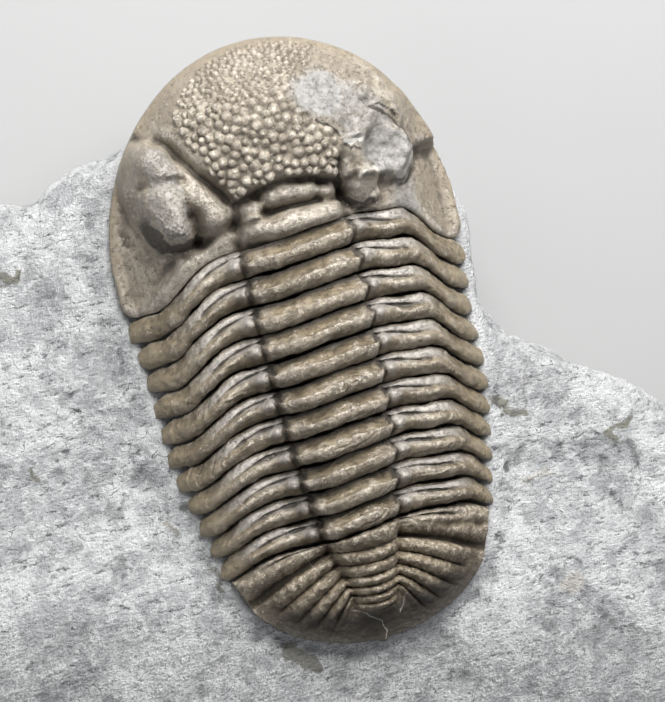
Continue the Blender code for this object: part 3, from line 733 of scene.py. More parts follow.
# %% The segment tree
def segment_tree():
    labels = (
        "Front Joint", "Rear Joint", "Front Sweep", "Rear Sweep", "Ring Half Width", "Half Width",
        "Crest Height",
        "Seed",
    )
    tree, given, result = mesh_tree("thoracic segment", [(label, 1.0) for label in labels])
    sizes = {"Vertices": CUT_STEPS, "Side Segments": TUBE_STEPS, "Radius": 1.0, "Depth": 2.0}
    tube = out(add_node(tree, "GeometryNodeMeshCylinder", sizes), "Mesh")
    place = add_node(tree, "ShaderNodeSeparateXYZ", {0: position_wire(tree)})
    turn = out(place, "Y").math("ARCTAN2", out(place, "X")) / (2.0 * math.pi) + 0.5
    half_width = given["Half Width"]
    x = (out(place, "Z") * TIP_CROWDING).math("SINE") / math.sin(TIP_CROWDING) * half_width
    away = x.math("ABSOLUTE")
    ring_width = given["Ring Half Width"] + (turn - 0.52).bell(0.14) * 0.34 - 0.12
    on_ring = away.remap(ring_width + 0.12, ring_width - 0.3)
    on_paddle = away.remap(7.0, 10.6)
    into_tip = ((away - half_width) / TIP_LENGTH + 1.0).math("MAXIMUM", 0.0)
    narrow = 1.0 - (1.0 - into_tip * into_tip * 0.96).math("SQRT")

    def blend(column, low, high):
        flat, paddle, ring = (
            curve_wire(turn, [(cut[0], cut[column]) for cut in cuts], low, high)
            for cuts in (FLAT_CUT, PADDLE_CUT, RING_CUT)
        )
        return flat.toward(paddle, on_paddle).toward(ring, on_ring)

    share = blend(1, -0.1, 1.1)
    drop = blend(2, -3.5, 0.5) * (1.0 - into_tip * 0.55)
    legs = curve_wire(turn, LEGS, 0.0, 1.0)
    crest = given["Crest Height"]
    flat_z = crest - PLEURA_DROP
    bent = ((away - FULCRUM_X) / FULCRUM_SOFTNESS).math("EXPONENT") + 1.0
    slope = (flat_z - TIP_HEIGHT) / (half_width - FULCRUM_X)
    rib_z = flat_z - slope * bent.math("LOGARITHM", math.e) * FULCRUM_SOFTNESS
    arched = away / (ring_width * 1.1)
    ring_z = crest - RING_ARCH * (1.0 - (1.0 - arched * arched).math("MAXIMUM", 0.0).math("SQRT"))
    slant = away.remap(ring_width, 8.4, -0.2, 0.05, kind="LINEAR") * (share - 0.36).bell(0.24)
    share = share + slant * (1.0 - on_paddle) * (1.0 - on_ring)
    furrow = (away - ring_width + 0.02).bell(0.14) * 0.06
    boss = (away - ring_width - 0.5).bell(0.6) * (share - 0.45).bell(0.42)
    end = ((away - ring_width) / 0.85 + 1.0).math("MAXIMUM", 0.0).math("MINIMUM", 1.0)
    round_end = (1.0 - (1.0 - end * end * 0.97).math("SQRT")) * on_ring
    top = rib_z.toward(ring_z, on_ring) - furrow + boss
    shell_z = top + drop - into_tip * into_tip * 0.7
    z = shell_z.toward(BED_GAP, legs).math("MAXIMUM", BED_GAP)
    swept = ((away - SWEEP_START_X) / (SWEEP_END_X - SWEEP_START_X)).math("MAXIMUM", 0.0)
    late = (x - 9.7).bell(2.2) * 0.6 + (x - 5.8).bell(1.6) * 0.09
    swept = swept.math("POWER", 1.7).remap(0.0, 1.0) - late
    front = given["Front Joint"] - given["Front Sweep"] * swept - PLATE_GAP / 2.0
    back = given["Rear Joint"] - given["Rear Sweep"] * swept + PLATE_GAP / 2.0
    ragged = noise_wire(tree, combined(tree, x * 0.5, given["Seed"] * 3.1), 1.0, 1.0)
    front = front - narrow * TIP_FRONT_CUT
    back = back + narrow * TIP_BACK_CUT + round_end * 0.15
    moved = (round_end * 0.5 + ragged.remap(0.3, 0.7) * 0.3 * on_ring) * (share - 0.25).bell(0.13)
    y = front.toward(back, share) - moved + (top - z) * JOINT_LEAN + x * x.bell(5.0) * 0.14
    fan = noise_wire(tree, combined(tree, x * 0.4, share * 11.0, given["Seed"]), 1.0, 2.0)
    # The front band of each rib and the boss beside the ring are marked for a painted sheen.
    on_front = share.remap(0.46, 0.3) * share.remap(0.02, 0.1) * (1.0 - on_ring) * away.remap(11.0, 8.0)
    beside_ring = (away - ring_width - 0.6).bell(0.6) * share.remap(0.75, 0.45) * (1.0 - on_ring)
    # Painted shade on the front edge, under the plate before, and on the rear flank.
    shade = share.remap(0.17, 0.08) * (0.35 + on_ring * 0.3)
    shade = shade + share.remap(0.76, 0.97) * (0.4 + on_ring * 0.15)
    geometry = keep(tree, tube, "painted_sheen", on_front.math("MAXIMUM", beside_ring))
    geometry = keep(tree, geometry, "dark", shade * away.remap(half_width - 0.5, 9.0))
    geometry = set_position(tree, geometry, Position=combined(tree, x, y, z))
    spot = position_wire(tree).vector("ADD", combined(tree, given["Seed"]))
    wobble = (noise_wire(tree, spot, 0.45, 2.0) - 0.5) * 0.55
    lumps = (noise_wire(tree, spot, 1.3, 2.0) - 0.5) * 0.14 + (fan - 0.5) * on_front * 0.5
    pits = (noise_wire(tree, spot, 5.0, 3.0, 0.65) - 0.5) * 0.09
    geometry = push_out(tree, geometry, wobble + lumps + pits)
    metres = position_wire(tree).vector("MULTIPLY_ADD", (MM,) * 3, tuple(ORIGIN))
    geometry = set_position(tree, geometry, Position=metres)
    finish_tree(tree, geometry, given["Material"], result)
    return tree


# %% Eleven segments
# Fine veins of pale calcite run across the left ribs and the tail, each given by its corners.
VEINS = (
    ((-8.9, 8.6), (-8.3, 7.1)), ((-9.2, 4.0), (-8.4, 2.35)), ((-7.5, -1.8), (-7.05, -2.8), (-6.5, -3.9)),
    ((-8.8, -7.0), (-8.1, -7.9)), ((-5.7, -10.2), (-5.15, -12.0), (-4.0, -14.1)),
    ((-2.0, -17.5), (-1.2, -18.0), (0.05, -19.0), (0.4, -19.9), (0.2, -20.5)), ((2.2, -17.4), (1.7, -18.7)),
)


def vein_share(x, y):
    x, y = shaken(x, y, 0.5, 0.1, 41)
    nearest = np.min([line_distance(x, y, vein) for vein in VEINS], axis=0)
    return smooth_step((0.07 - nearest) / 0.05)


def make_segments():
    tree = segment_tree()
    made = []
    for index in range(1, SEGMENTS + 1):
        y = ring_y(index)
        name = f"segment_{index:02d}_shell"
        piece = add_piece(name, bpy.data.meshes.new(name))
        mesh = run_tree(piece, tree, {
            "Front Joint": joint_middle_y(index - 1), "Rear Joint": joint_middle_y(index),
            "Front Sweep": sweep_reach(index - 1), "Rear Sweep": sweep_reach(index),
            "Ring Half Width": RING_HALF_WIDTH - RING_TAPER * float(np.clip(body_share(y), 0.0, 1.0)) ** 3,
            "Half Width": float(along(THORAX_HALF_WIDTH, y)), "Crest Height": float(crest_height(y)),
            "Seed": index * 7.3, "Material": BODY_SHELL,
        })
        points = mesh_points(mesh)
        store(mesh, "vein", vein_share(points[:, 0], points[:, 1]))
        store(
            mesh, "margin",
            smooth_step((np.abs(points[:, 0]) - float(along(THORAX_HALF_WIDTH, y)) + 2.2) / 2.0),
        )
        made.append(piece)
        print(name, len(mesh.vertices), "points")
    return made


segments = make_segments()

# %% [markdown]
# The head shield is one smooth form with many small ones on it, so it is sculpted as a height
# over the plan: a dome for the glabella, low rings behind it, sloping cheeks, a raised eye, and
# then strokes, which are lines that raise or cut the surface. A fine voxel remesh evens the mesh
# on the steep sides before the warts are raised.

# %% The head's main forms
HEAD_WIDEST_Y, HEAD_HALF_WIDTH, HEAD_REACH, HEAD_LAST_COLUMN = 11.2, 14.1, 16.7, 14.0
GENAL_CORNER_X, GENAL_TURN = 12.9, 1.9
BORDER_HEIGHT, CHEEK_RISE = 1.7, 7.1
CHEEK_SHOULDER = ((12.0, 0.45), (17.0, 0.62), (22.0, 0.82))
GLABELLA_EDGE = (
    (12.0, 4.35), (14.3, 4.1), (15.0, 4.1), (16.5, 4.9), (17.5, 5.7), (18.4, 6.6), (19.6, 7.3), (20.9, 8.0),
    (21.6, 8.8), (24.0, 12.0),
)
# On the right the break has taken the furrow away, and the dome runs out to the margin.
BROKEN_EDGE = ((12.0, 4.35), (15.0, 4.1), (15.6, 6.5), (16.4, 10.0), (17.2, 14.5))
HEAD_COLUMNS, HEAD_ROWS, RIM_CROWDING = 361, 281, 1.45


def head_front_y(x):
    return HEAD_WIDEST_Y + HEAD_REACH * np.sqrt(np.maximum(0.0, 1.0 - (x / HEAD_HALF_WIDTH) ** 2))


def head_back_y(x, z):
    corner = np.clip((np.abs(x) - GENAL_CORNER_X) / (HEAD_HALF_WIDTH - GENAL_CORNER_X), 0.0, 1.0)
    middle = joint_middle_y(0) - sweep(0, x) + JOINT_LEAN * (pleura_height(x, joint_middle_y(0)) - z)
    return middle + PLATE_GAP / 2.0 + GENAL_TURN * (1.0 - np.sqrt(1.0 - corner ** 2))


def glabella_height(x, y):
    wide = 10.4 + 1.3 * smooth_step(x / 9.0)
    dome = 1.0 - (x / wide) ** 2 - ((y - 19.4) / 8.75) ** 2
    return 3.0 + 8.9 * np.sqrt(0.02 + (dome + np.sqrt((dome - 0.04) ** 2 + 0.008)) / 2.0)


def bar(x, y, left, right, middle, radius):
    """A half round bar with round ends, as a share of its own height."""
    beyond = np.maximum(0.0, np.maximum(left - x, x - right))
    return np.maximum(0.0, 1.0 - (beyond ** 2 + (y - middle) ** 2) / radius ** 2) ** 0.62


def rear_ring_height(x, y):
    """The ring at the back of the head, and the low ring with side nodes in front of it."""
    base = 8.6 - 1.7 * (x / RING_HALF_WIDTH) ** 2
    waver = 0.22 * rough_field(x, y, 1.5, 31)
    back_ring = 2.4 * bar(x, y + waver, -3.5, 3.3, 13.02, 1.12)
    front_ring = 2.1 * bar(x, y - waver, -1.35, 1.75, 15.25, 0.85)
    nodes = 2.3 * bar(x, y, -3.6, -2.8, 14.65, 0.88) + 2.0 * bar(x, y, 2.95, 3.4, 14.8, 0.72)
    return base + back_ring + front_ring + nodes


def cheek_height(x, y):
    share = np.hypot(x / HEAD_HALF_WIDTH, np.maximum(0.0, y - HEAD_WIDEST_Y) / HEAD_REACH)
    shoulder = along(CHEEK_SHOULDER, y)
    rise = CHEEK_RISE * (1.0 - smooth_step((share - shoulder) / (1.0 - shoulder)))
    cheek = BORDER_HEIGHT + rise + 0.14 * bell(share - 0.965, 0.025) - 0.12 * bell(share - 0.91, 0.03)
    inside = y - head_back_y(x, BORDER_HEIGHT)
    frame = 0.55 * bell(inside - 0.85, 0.55) - 0.75 * bell(inside - 2.1, 0.5)
    rear = pleura_height(x, HEAD_WIDEST_Y) - 0.15 + frame * (1.0 - 0.8 * smooth_step((x - 4.5) / 2.5))
    near = smooth_step(1.0 - (inside - 1.3) / 2.2)
    return cheek + (rear - cheek) * near * smooth_step((12.6 - np.abs(x)) / 2.5)


# %% Eye, break and strokes
EYE_LINE = ((-9.15, 20.0), (-9.3, 18.4), (-9.0, 16.4), (-8.6, 15.2))
FRONT_LOBE = ((-9.3, 20.0), (-9.0, 19.0))
REAR_LOBE = ((-9.15, 17.1), (-8.9, 16.0), (-8.65, 15.1))
BULGE = ((-7.7, 18.2), (-6.6, 16.4), (-5.9, 15.1))
# Corners of a line, its half width, and how far it stands up or cuts in.
STROKES = (
    ((
        (-8.7, 21.6), (-7.95, 20.8), (-7.3, 19.6), (-6.55, 18.4), (-5.7, 17.5), (-4.9, 16.5), (-4.6, 15.9)
    ), 0.42, -1.1),
    (((-7.1, 18.8), (-6.4, 18.1), (-5.4, 16.95), (-4.6, 15.7), (-4.3, 14.4)), 0.16, 0.1),
    (((-10.8, 18.3), (-9.4, 18.15), (-8.3, 18.2), (-7.4, 18.1)), 0.3, -0.75),
    (((-10.0, 17.9), (-8.8, 17.75), (-7.9, 17.8)), 0.14, 0.14),
    (((-7.75, 16.1), (-7.6, 15.3)), 0.25, -0.6),
    (((-7.5, 15.1), (-7.35, 14.3), (-7.15, 13.2)), 0.6, -1.9),
    (((-4.5, 14.0), (-5.8, 13.5), (-7.2, 13.05), (-8.4, 12.5)), 0.4, -1.0),
    (((-10.6, 16.6), (-10.25, 15.7), (-9.9, 15.0), (-9.3, 14.3), (-8.5, 14.0)), 0.16, 0.25),
    (((-13.2, 14.6), (-12.3, 13.9), (-11.4, 13.2), (-10.4, 12.6), (-9.2, 12.4), (-8.0, 12.6)), 0.16, 0.16),
    (((-12.6, 15.6), (-11.8, 13.2), (-10.0, 12.0)), 0.35, -0.2),
    (((-10.7, 23.0), (-9.5, 22.45), (-8.6, 21.85)), 0.16, 0.25),
    (((-10.2, 22.3), (-9.6, 21.6), (-9.0, 21.3)), 0.4, -0.5),
    (((-8.6, 20.8), (-8.9, 19.9), (-9.4, 19.1)), 0.1, 0.13),
    (((-8.3, 20.2), (-9.0, 19.6), (-9.7, 19.3)), 0.09, -0.12),
    (((-8.0, 19.4), (-8.9, 18.9), (-9.5, 18.8)), 0.1, 0.12),
    (((-2.7, 14.25), (0.0, 14.35), (2.6, 14.35)), 0.22, -0.4),
    (((3.5, 20.0), (4.2, 19.5), (4.5, 19.1), (4.75, 18.7)), 0.13, -0.4),
    (((7.5, 20.95), (8.2, 20.2), (9.0, 19.45), (9.85, 18.9), (10.45, 18.1), (10.6, 17.2)), 0.2, -0.35),
    (((8.1, 20.7), (9.1, 20.0), (10.1, 19.2)), 0.12, -0.3),
    (((4.4, 16.9), (4.2, 15.6), (4.25, 14.6), (4.65, 13.6), (5.5, 13.1), (6.6, 13.2)), 0.22, -1.1),
    (((5.0, 18.35), (6.2, 18.5), (7.1, 18.35)), 0.14, 0.3),
    (((5.0, 17.9), (6.0, 17.75), (6.5, 17.3)), 0.14, -0.45),
    (((10.85, 16.6), (10.5, 15.7), (9.85, 15.05), (8.95, 14.75), (8.1, 14.6)), 0.26, 0.35),
    (((11.3, 16.6), (10.9, 15.3), (10.1, 14.45), (9.0, 14.15)), 0.25, -0.45),
    (((6.0, 15.5), (6.7, 15.6), (7.4, 15.3)), 0.3, 0.4),
    (((4.7, 12.75), (5.6, 12.5), (6.7, 12.6)), 0.3, 0.35),
)


def lobe(height, x, y, line, radius, top, rounding, softness):
    """Raise a rounded lobe along a line, over whatever is there."""
    off = line_distance(x, y, line)
    cover = smooth_step((radius - off) / softness + 0.5)
    return height + (np.maximum(top - rounding * off ** 2, height) - height) * cover


def head_height(x, y):
    edge = np.where(x > 0.0, along(BROKEN_EDGE, y), along(GLABELLA_EDGE, y))
    blend = smooth_step((y - 16.0 + 0.055 * np.minimum(np.abs(x), 5.0) ** 2) / 0.8)
    inner = rear_ring_height(x, y) * (1.0 - blend) + glabella_height(x, np.maximum(y, 15.0)) * blend
    outer = cheek_height(x, y)
    slope = 0.8 + 8.0 * smooth_step((x - 8.0) / 5.0)
    height = outer + (inner - outer) * smooth_step((edge - np.abs(x)) / slope + 0.5)
    height -= 0.45 * bell(np.abs(x) - edge, 0.5) * smooth_step((24.0 - y) / 2.0)
    eye_wall = line_distance(x, y, EYE_LINE)
    left = smooth_step(-x - 3.0)
    wall = 8.7 - 4.3 * smooth_step((eye_wall - 1.2) / 1.7)
    height += (np.maximum(wall, height) - height) * left * smooth_step((2.9 - eye_wall) / 0.4)
    height = lobe(height, x, y, BULGE, 1.85, 10.25, 0.5, 0.9)
    height = lobe(height, x, y, FRONT_LOBE, 1.4, 10.1, 0.65, 0.7)
    height = lobe(height, x, y, REAR_LOBE, 1.9, 11.0, 0.6, 0.6)
    near_x, near_y = shaken(x, y, 0.9, 0.22, 51)
    dish = np.hypot((near_x - 8.7) / 2.1, (near_y - 16.9) / 2.2)
    height += (8.5 + 0.35 * dish ** 2 - height) * smooth_step((1.15 - dish) / 0.4)
    height = lobe(height, near_x, near_y, ((5.6, 15.6), (5.9, 14.6)), 1.45, 9.5, 0.42, 0.3)
    for line, width, rise in STROKES:
        broken = line[0][0] > 3.0
        place = (near_x, near_y) if broken else (x, y)
        uneven = 1.0 + 0.4 * broken * rough_field(x, y, 0.7, 61)
        height += rise * bell(line_distance(*place, line), width) * uneven
    torn = smooth_step((x - 2.6) / 1.4) * smooth_step((24.5 - y) / 1.5) * smooth_step((y - 13.2) / 0.8)
    torn *= smooth_step((11.6 - x) / 0.8)
    for size, depth, seed in ((1.3, 0.16, 71), (0.55, 0.16, 73), (0.26, 0.11, 75)):
        height += depth * torn * rough_field(x, y, size, seed)
    return height


def head_foot(reach, z):
    """A ring of the head's side wall, drawn in towards the middle by reach."""
    def ring(rim):
        back = rim[:, 1] < head_back_y(rim[:, 0], rim[:, 2]) + 0.02
        level = np.minimum(rim[:, 2] - 0.05, z)
        x = np.where(back, rim[:, 0], rim[:, 0] * reach)
        y = np.where(
            back, rim[:, 1] + JOINT_LEAN * (rim[:, 2] - level),
            HEAD_WIDEST_Y + (rim[:, 1] - HEAD_WIDEST_Y) * reach,
        )
        return np.column_stack((x, y, level))
    return ring


def make_head():
    turn = np.linspace(-1.0, 1.0, HEAD_COLUMNS)
    x = (HEAD_LAST_COLUMN * np.sin(turn * math.pi / 2.0))[None, :] * np.ones((HEAD_ROWS, 1))
    back = head_back_y(x, pleura_height(x, HEAD_WIDEST_Y))
    share = np.sin(np.linspace(0.0, 1.0, HEAD_ROWS) * RIM_CROWDING)[:, None]
    y = back + (head_front_y(x) - back) * share / math.sin(RIM_CROWDING)
    z = head_height(x, y)
    lip = smooth_step(1.0 - (y - back) / 0.5)
    z -= 0.35 * lip
    feet = [
        head_foot(1.0, 2.3), head_foot(0.985, 1.9), head_foot(1.0, 1.3), head_foot(0.99, 0.7),
        head_foot(0.95, BED_GAP),
    ]
    mesh = closed_grid("head_shell", np.stack((x, y, z), axis=-1), feet)
    piece = add_piece("head_shell", mesh)
    remesh = piece.modifiers.new("even", "REMESH")
    remesh.mode = "VOXEL"
    remesh.voxel_size = 0.162 * MM
    soften = piece.modifiers.new("soften", "SMOOTH")
    soften.factor = 0.5
    soften.iterations = 4
    bake(piece)
    return piece


head = make_head()
print("head after remesh:", len(head.data.vertices), "points")

# %% [markdown]
# The warts are real relief, so they need a finer mesh than the cheeks do. Only the faces that
# carry warts or the eye are split. The underside, which lies on the rock, is merged instead.

# %% Finer where it counts
LEFT_LIMIT = (
    (17.0, 4.9), (19.4, 6.1), (21.1, 6.9), (23.1, 7.2), (24.6, 6.2), (26.3, 4.2), (27.2, 1.9), (27.6, 0.5)
)
RIGHT_LIMIT = (
    (14.0, 4.2), (17.0, 4.3), (19.0, 4.7), (20.3, 3.5), (22.0, 2.3), (23.6, 2.6), (25.0, 4.5), (27.0, 6.5)
)


def wart_share(x, y, z):
    inside = smooth_step((along(GLABELLA_EDGE, y) - np.abs(x) - 0.4) / 0.5)
    inside *= smooth_step((along(LEFT_LIMIT, y) + x) / 0.5 + 0.3)
    limit = smooth_step((along(RIGHT_LIMIT, y) - x) / 0.5 + 0.3)
    rear = smooth_step((y - 16.45 + 0.055 * np.minimum(np.abs(x), 5.0) ** 2) / 0.4)
    border = smooth_step((0.975 - np.hypot(x / HEAD_HALF_WIDTH, (y - HEAD_WIDEST_Y) / HEAD_REACH)) / 0.02)
    return inside * limit * rear * border * smooth_step((z - 5.2) / 1.5)


def eye_share(x, y, z):
    """1 on the steep band of lenses round the left eye."""
    off = line_distance(x, y, EYE_LINE)
    outside = smooth_step((-x - 8.3 + (15.4 - y) * 0.9) / 0.4)
    band = smooth_step((off - 1.6) / 0.25) * smooth_step((2.75 - off) / 0.3)
    return band * outside * smooth_step((z - 4.2) / 0.6)


def wrinkle_share(x, y):
    """1 on the wrinkled tops of the two eye lobes."""
    front = smooth_step((1.5 - line_distance(x, y, FRONT_LOBE)) / 0.5)
    rear = smooth_step((1.85 - line_distance(x, y, REAR_LOBE)) / 0.5)
    return np.maximum(front, rear) * smooth_step((-x - 7.5) / 0.3)


def refine_head(piece):
    build = bmesh.new()
    build.from_mesh(piece.data)
    build.faces.ensure_lookup_table()
    middles = (np.array([face.calc_center_median() for face in build.faces]) - np.array(ORIGIN)) / MM
    x, y, z = middles.T
    wanted = np.maximum.reduce((wart_share(x, y, z), eye_share(x, y, z), wrinkle_share(x, y) * (z > 6.0)))
    split = in_order(edge for face, want in zip(build.faces, wanted) if want > 0.05 for edge in face.edges)
    under = [face for face, spot in zip(build.faces, middles) if spot[2] < 0.45 and face.normal.z < -0.98]
    under_edges = in_order(edge for face in under for edge in face.edges)
    under_points = in_order(point for face in under for point in face.verts)
    bmesh.ops.dissolve_limit(
        build, angle_limit=math.radians(3.0), verts=under_points, edges=under_edges
    )
    left = [edge for edge in split if edge.is_valid]
    bmesh.ops.subdivide_edges(build, edges=left, cuts=1, use_grid_fill=True)
    build.to_mesh(piece.data)
    build.free()


refine_head(head)
points = mesh_points(head.data)
store(head.data, "warty", wart_share(*points.T))
store(head.data, "lenses", eye_share(*points.T))
store(head.data, "wrinkled", wrinkle_share(points[:, 0], points[:, 1]))
store(head.data, "front", smooth_step((points[:, 1] - 20.5) / 4.5))
head.data.calc_loop_triangles()
print("head refined:", len(head.data.loop_triangles), "triangles")

# %% [markdown]
# The warts lie at random but never on top of each other, which is what Poisson disk scattering
# does. One tree scatters the points, large ones behind and small ones in front, measures how far
# each part of the surface is from the nearest, and raises a dome there. The eye's lenses and the
# wrinkles come from a cell pattern and a ridge pattern in the same tree.

# %% The wart tree
WART_DENSITY = 4.0e7


def wart_tree():
    numbers = (
        ("Rear Spacing", 0.62), ("Front Spacing", 0.4), ("Rear Radius", 0.5), ("Front Radius", 0.32),
        ("Height", 0.4),
    )
    tree, given, result = mesh_tree("warts", numbers, ("Seed", "Int", 4))
    geometry = given["Geometry"]
    position = position_wire(tree).scaled(1.0 / MM)
    warty = named(tree, "warty")
    front = named(tree, "front")
    domes = []
    for zone, want in (("Rear", 1.0 - front), ("Front", front)):
        dots = add_node(
            tree, "GeometryNodeDistributePointsOnFaces",
            {"Mesh": geometry, "Selection": (warty * want).math("GREATER_THAN", 0.35),
             "Distance Min": given[zone + " Spacing"] * MM, "Density Max": WART_DENSITY,
             "Density Factor": 1.0, "Seed": given["Seed"]},
            distribute_method="POISSON",
        )
        near = add_node(tree, "GeometryNodeProximity", {0: out(dots, "Points")}, target_element="POINTS")
        which = out(add_node(tree, "GeometryNodeSampleNearest", {"Geometry": out(dots, "Points")}))
        size = out(
            add_node(tree, "FunctionNodeRandomValue", {"Min": 0.55, "Max": 1.15, "ID": which}), "Value"
        )
        reach = out(near, "Distance") / MM / (given[zone + " Radius"] * size)
        domes.append((1.0 - reach * reach).math("MAXIMUM", 0.0).math("POWER", 0.95))
    large = domes[0] * given["Height"]
    small = domes[1] * given["Height"] * 0.6
    uneven = 0.7 + noise_wire(tree, position, 1.1, 2.0) * 0.6
    dome = large.math("MAXIMUM", small) * (warty + 0.1).math("MINIMUM", 1.0) * uneven
    cells = out(
        add_node(tree, "ShaderNodeTexVoronoi", {"Vector": position, "Scale": 2.7, "Randomness": 0.7}),
        "Distance",
    )
    lens = (0.6 - cells).math("MAXIMUM", 0.0) * 0.16 * named(tree, "lenses")
    folds = noise_wire(tree, position, 2.8, 4.0, 0.6, noise_type="RIDGED_MULTIFRACTAL")
    wrinkle = (folds - 0.6) * 0.2 * named(tree, "wrinkled")
    lumps = (noise_wire(tree, position, 0.9, 3.0) - 0.5) * 0.1
    raised = push_out(tree, geometry, (dome + lens + wrinkle + lumps) * MM)
    finish_tree(tree, raised, given["Material"], result)
    return tree


mesh = run_tree(head, wart_tree(), {"Material": HEAD_SHELL})
mesh.calc_loop_triangles()
print("head with warts:", len(mesh.loop_triangles), "triangles")

# %% [markdown]
# The right side of the head is broken. Colours there follow the damage, not the height, so they
# are kept as shares on the points: pale where the shell is stripped, white on the fresh rim, and
# dark in the lump and the cracks.

# %% Colours of the break
def blot(x, y, centre, radius, soft=0.4):
    return smooth_step((radius - np.hypot(x - centre[0], y - centre[1])) / soft + 0.5)


def paint_head(mesh):
    x, y, z = mesh_points(mesh).T
    up = smooth_step((z - 4.0) / 1.5)
    lobes = wrinkle_share(x, y) * 0.5
    x, y = shaken(x, y, 0.8, 0.3, 81)
    x, y = shaken(x, y, 0.3, 0.1, 83)
    pale = np.maximum.reduce((
        blot(x, y, (4.1, 22.2), 2.1, 2.4) * 0.9, blot(x, y, (8.6, 16.9), 2.1, 1.2) * 0.66, lobes,
        blot(x, y, (6.8, 20.0), 2.6, 2.2) * 0.56, blot(x, y, (6.0, 21.5), 1.9, 2.0) * 0.6,
        blot(x, y, (8.5, 18.4), 1.3, 0.8) * 0.55, blot(x, y, (10.4, 13.0), 2.4, 2.0) * 0.56,
    ))
    white = np.maximum.reduce((
        lobes * 0.8,
        smooth_step(
            (0.3 - line_distance(x, y, ((10.85, 16.6), (10.5, 15.7), (9.85, 15.05), (8.95, 14.8)))) / 0.25
        ),
        smooth_step((0.4 - line_distance(x, y, ((6.0, 15.5), (6.7, 15.6), (7.4, 15.2)))) / 0.3) * 0.6,
        smooth_step((0.32 - line_distance(x, y, ((5.1, 18.2), (6.8, 18.15)))) / 0.25),
    ))
    cracks = [stroke[0] for stroke in STROKES if stroke[2] < -0.25 and stroke[0][0][0] > 3.0]
    crack = np.max([smooth_step((0.2 - line_distance(x, y, line)) / 0.15) for line in cracks], axis=0)
    chip = smooth_step((0.5 - line_distance(x, y, ((4.7, 12.7), (6.6, 12.5)))) / 0.4)
    dark = np.maximum.reduce((
        blot(x, y, (5.75, 14.7), 1.45, 0.7) * 0.62, crack * 0.85, blot(x, y, (5.0, 17.2), 0.8, 0.6) * 0.5,
        chip * 0.6,
    ))
    # Painted shade on the lower part of the band of lenses, which faces away from the light.
    dark = np.maximum(dark, eye_share(x, y, z) * smooth_step((16.8 - y) / 2.0) * 0.8)
    for name, share in (("pale", pale), ("white", white), ("dark", dark * (1.0 - white))):
        store(mesh, name, share * up)
    rim = np.hypot(x / HEAD_HALF_WIDTH, np.maximum(0.0, y - HEAD_WIDEST_Y) / HEAD_REACH)
    store(mesh, "margin", smooth_step((rim - 0.93) / 0.05))


paint_head(mesh)

# %% [markdown]
# The tail shield is one plate whose rings and ribs follow a rule: each groove crosses the axis
# and runs out to the margin, further round for each one. The grid's rows follow those grooves,
# so the ribs are as sharp as the real ones without a fine mesh between them.

# %% The tail
TAIL_CENTRE_Y, TAIL_HALF_WIDTH, TAIL_REACH = -11.8, 10.9, 8.6
TAIL_GROOVES = (
    (-11.59, 10.0), (-12.72, 26.0), (-13.82, 38.0), (-14.82, 49.0), (-15.65, 58.5), (-16.36, 67.0),
    (-17.05, 74.0),
    (-17.75, 80.0), (-18.6, 84.0), (-20.4, 86.0),
)
TAIL_RIBS, TAIL_RINGS, TAIL_AXIS_HALF_WIDTH, TAIL_AXIS_END_Y = 5, 7, 2.95, -18.5
TAIL_ROWS, TAIL_SIDE_COLUMNS, TAIL_AXIS_COLUMNS = 190, 105, 28


def tail_spots(place, side, share):
    axis_y = np.interp(place, range(len(TAIL_GROOVES)), [groove[0] for groove in TAIL_GROOVES])
    angle = np.radians(np.interp(place, range(len(TAIL_GROOVES)), [groove[1] for groove in TAIL_GROOVES]))
    taper = np.clip((TAIL_GROOVES[0][0] - axis_y) / (TAIL_GROOVES[0][0] - TAIL_AXIS_END_Y), 0.0, 1.0)
    notched = 1.0 - 0.015 * bell(place - 1.0, 0.2)
    end_x = TAIL_HALF_WIDTH * np.cos(angle) * notched
    end_y = TAIL_CENTRE_Y - TAIL_REACH * np.sin(angle) * notched
    half_width = np.minimum(TAIL_AXIS_HALF_WIDTH * (1.0 - taper / 2.0), end_x * 0.7)
    x = np.where(share < 0.0, half_width * (1.0 + share), half_width + (end_x - half_width) * share)
    y = axis_y + (end_y - axis_y) * np.maximum(0.0, share) ** 1.22
    y = y - 0.28 * np.where(share < 0.0, 1.0 - (1.0 + share) ** 2, 0.0)
    edge_y = joint_middle_y(SEGMENTS) - sweep(SEGMENTS, side * x) - PLATE_GAP / 2.0
    y = np.where(place < 1.0, edge_y + (y - edge_y) * place, y)
    return side * x, y


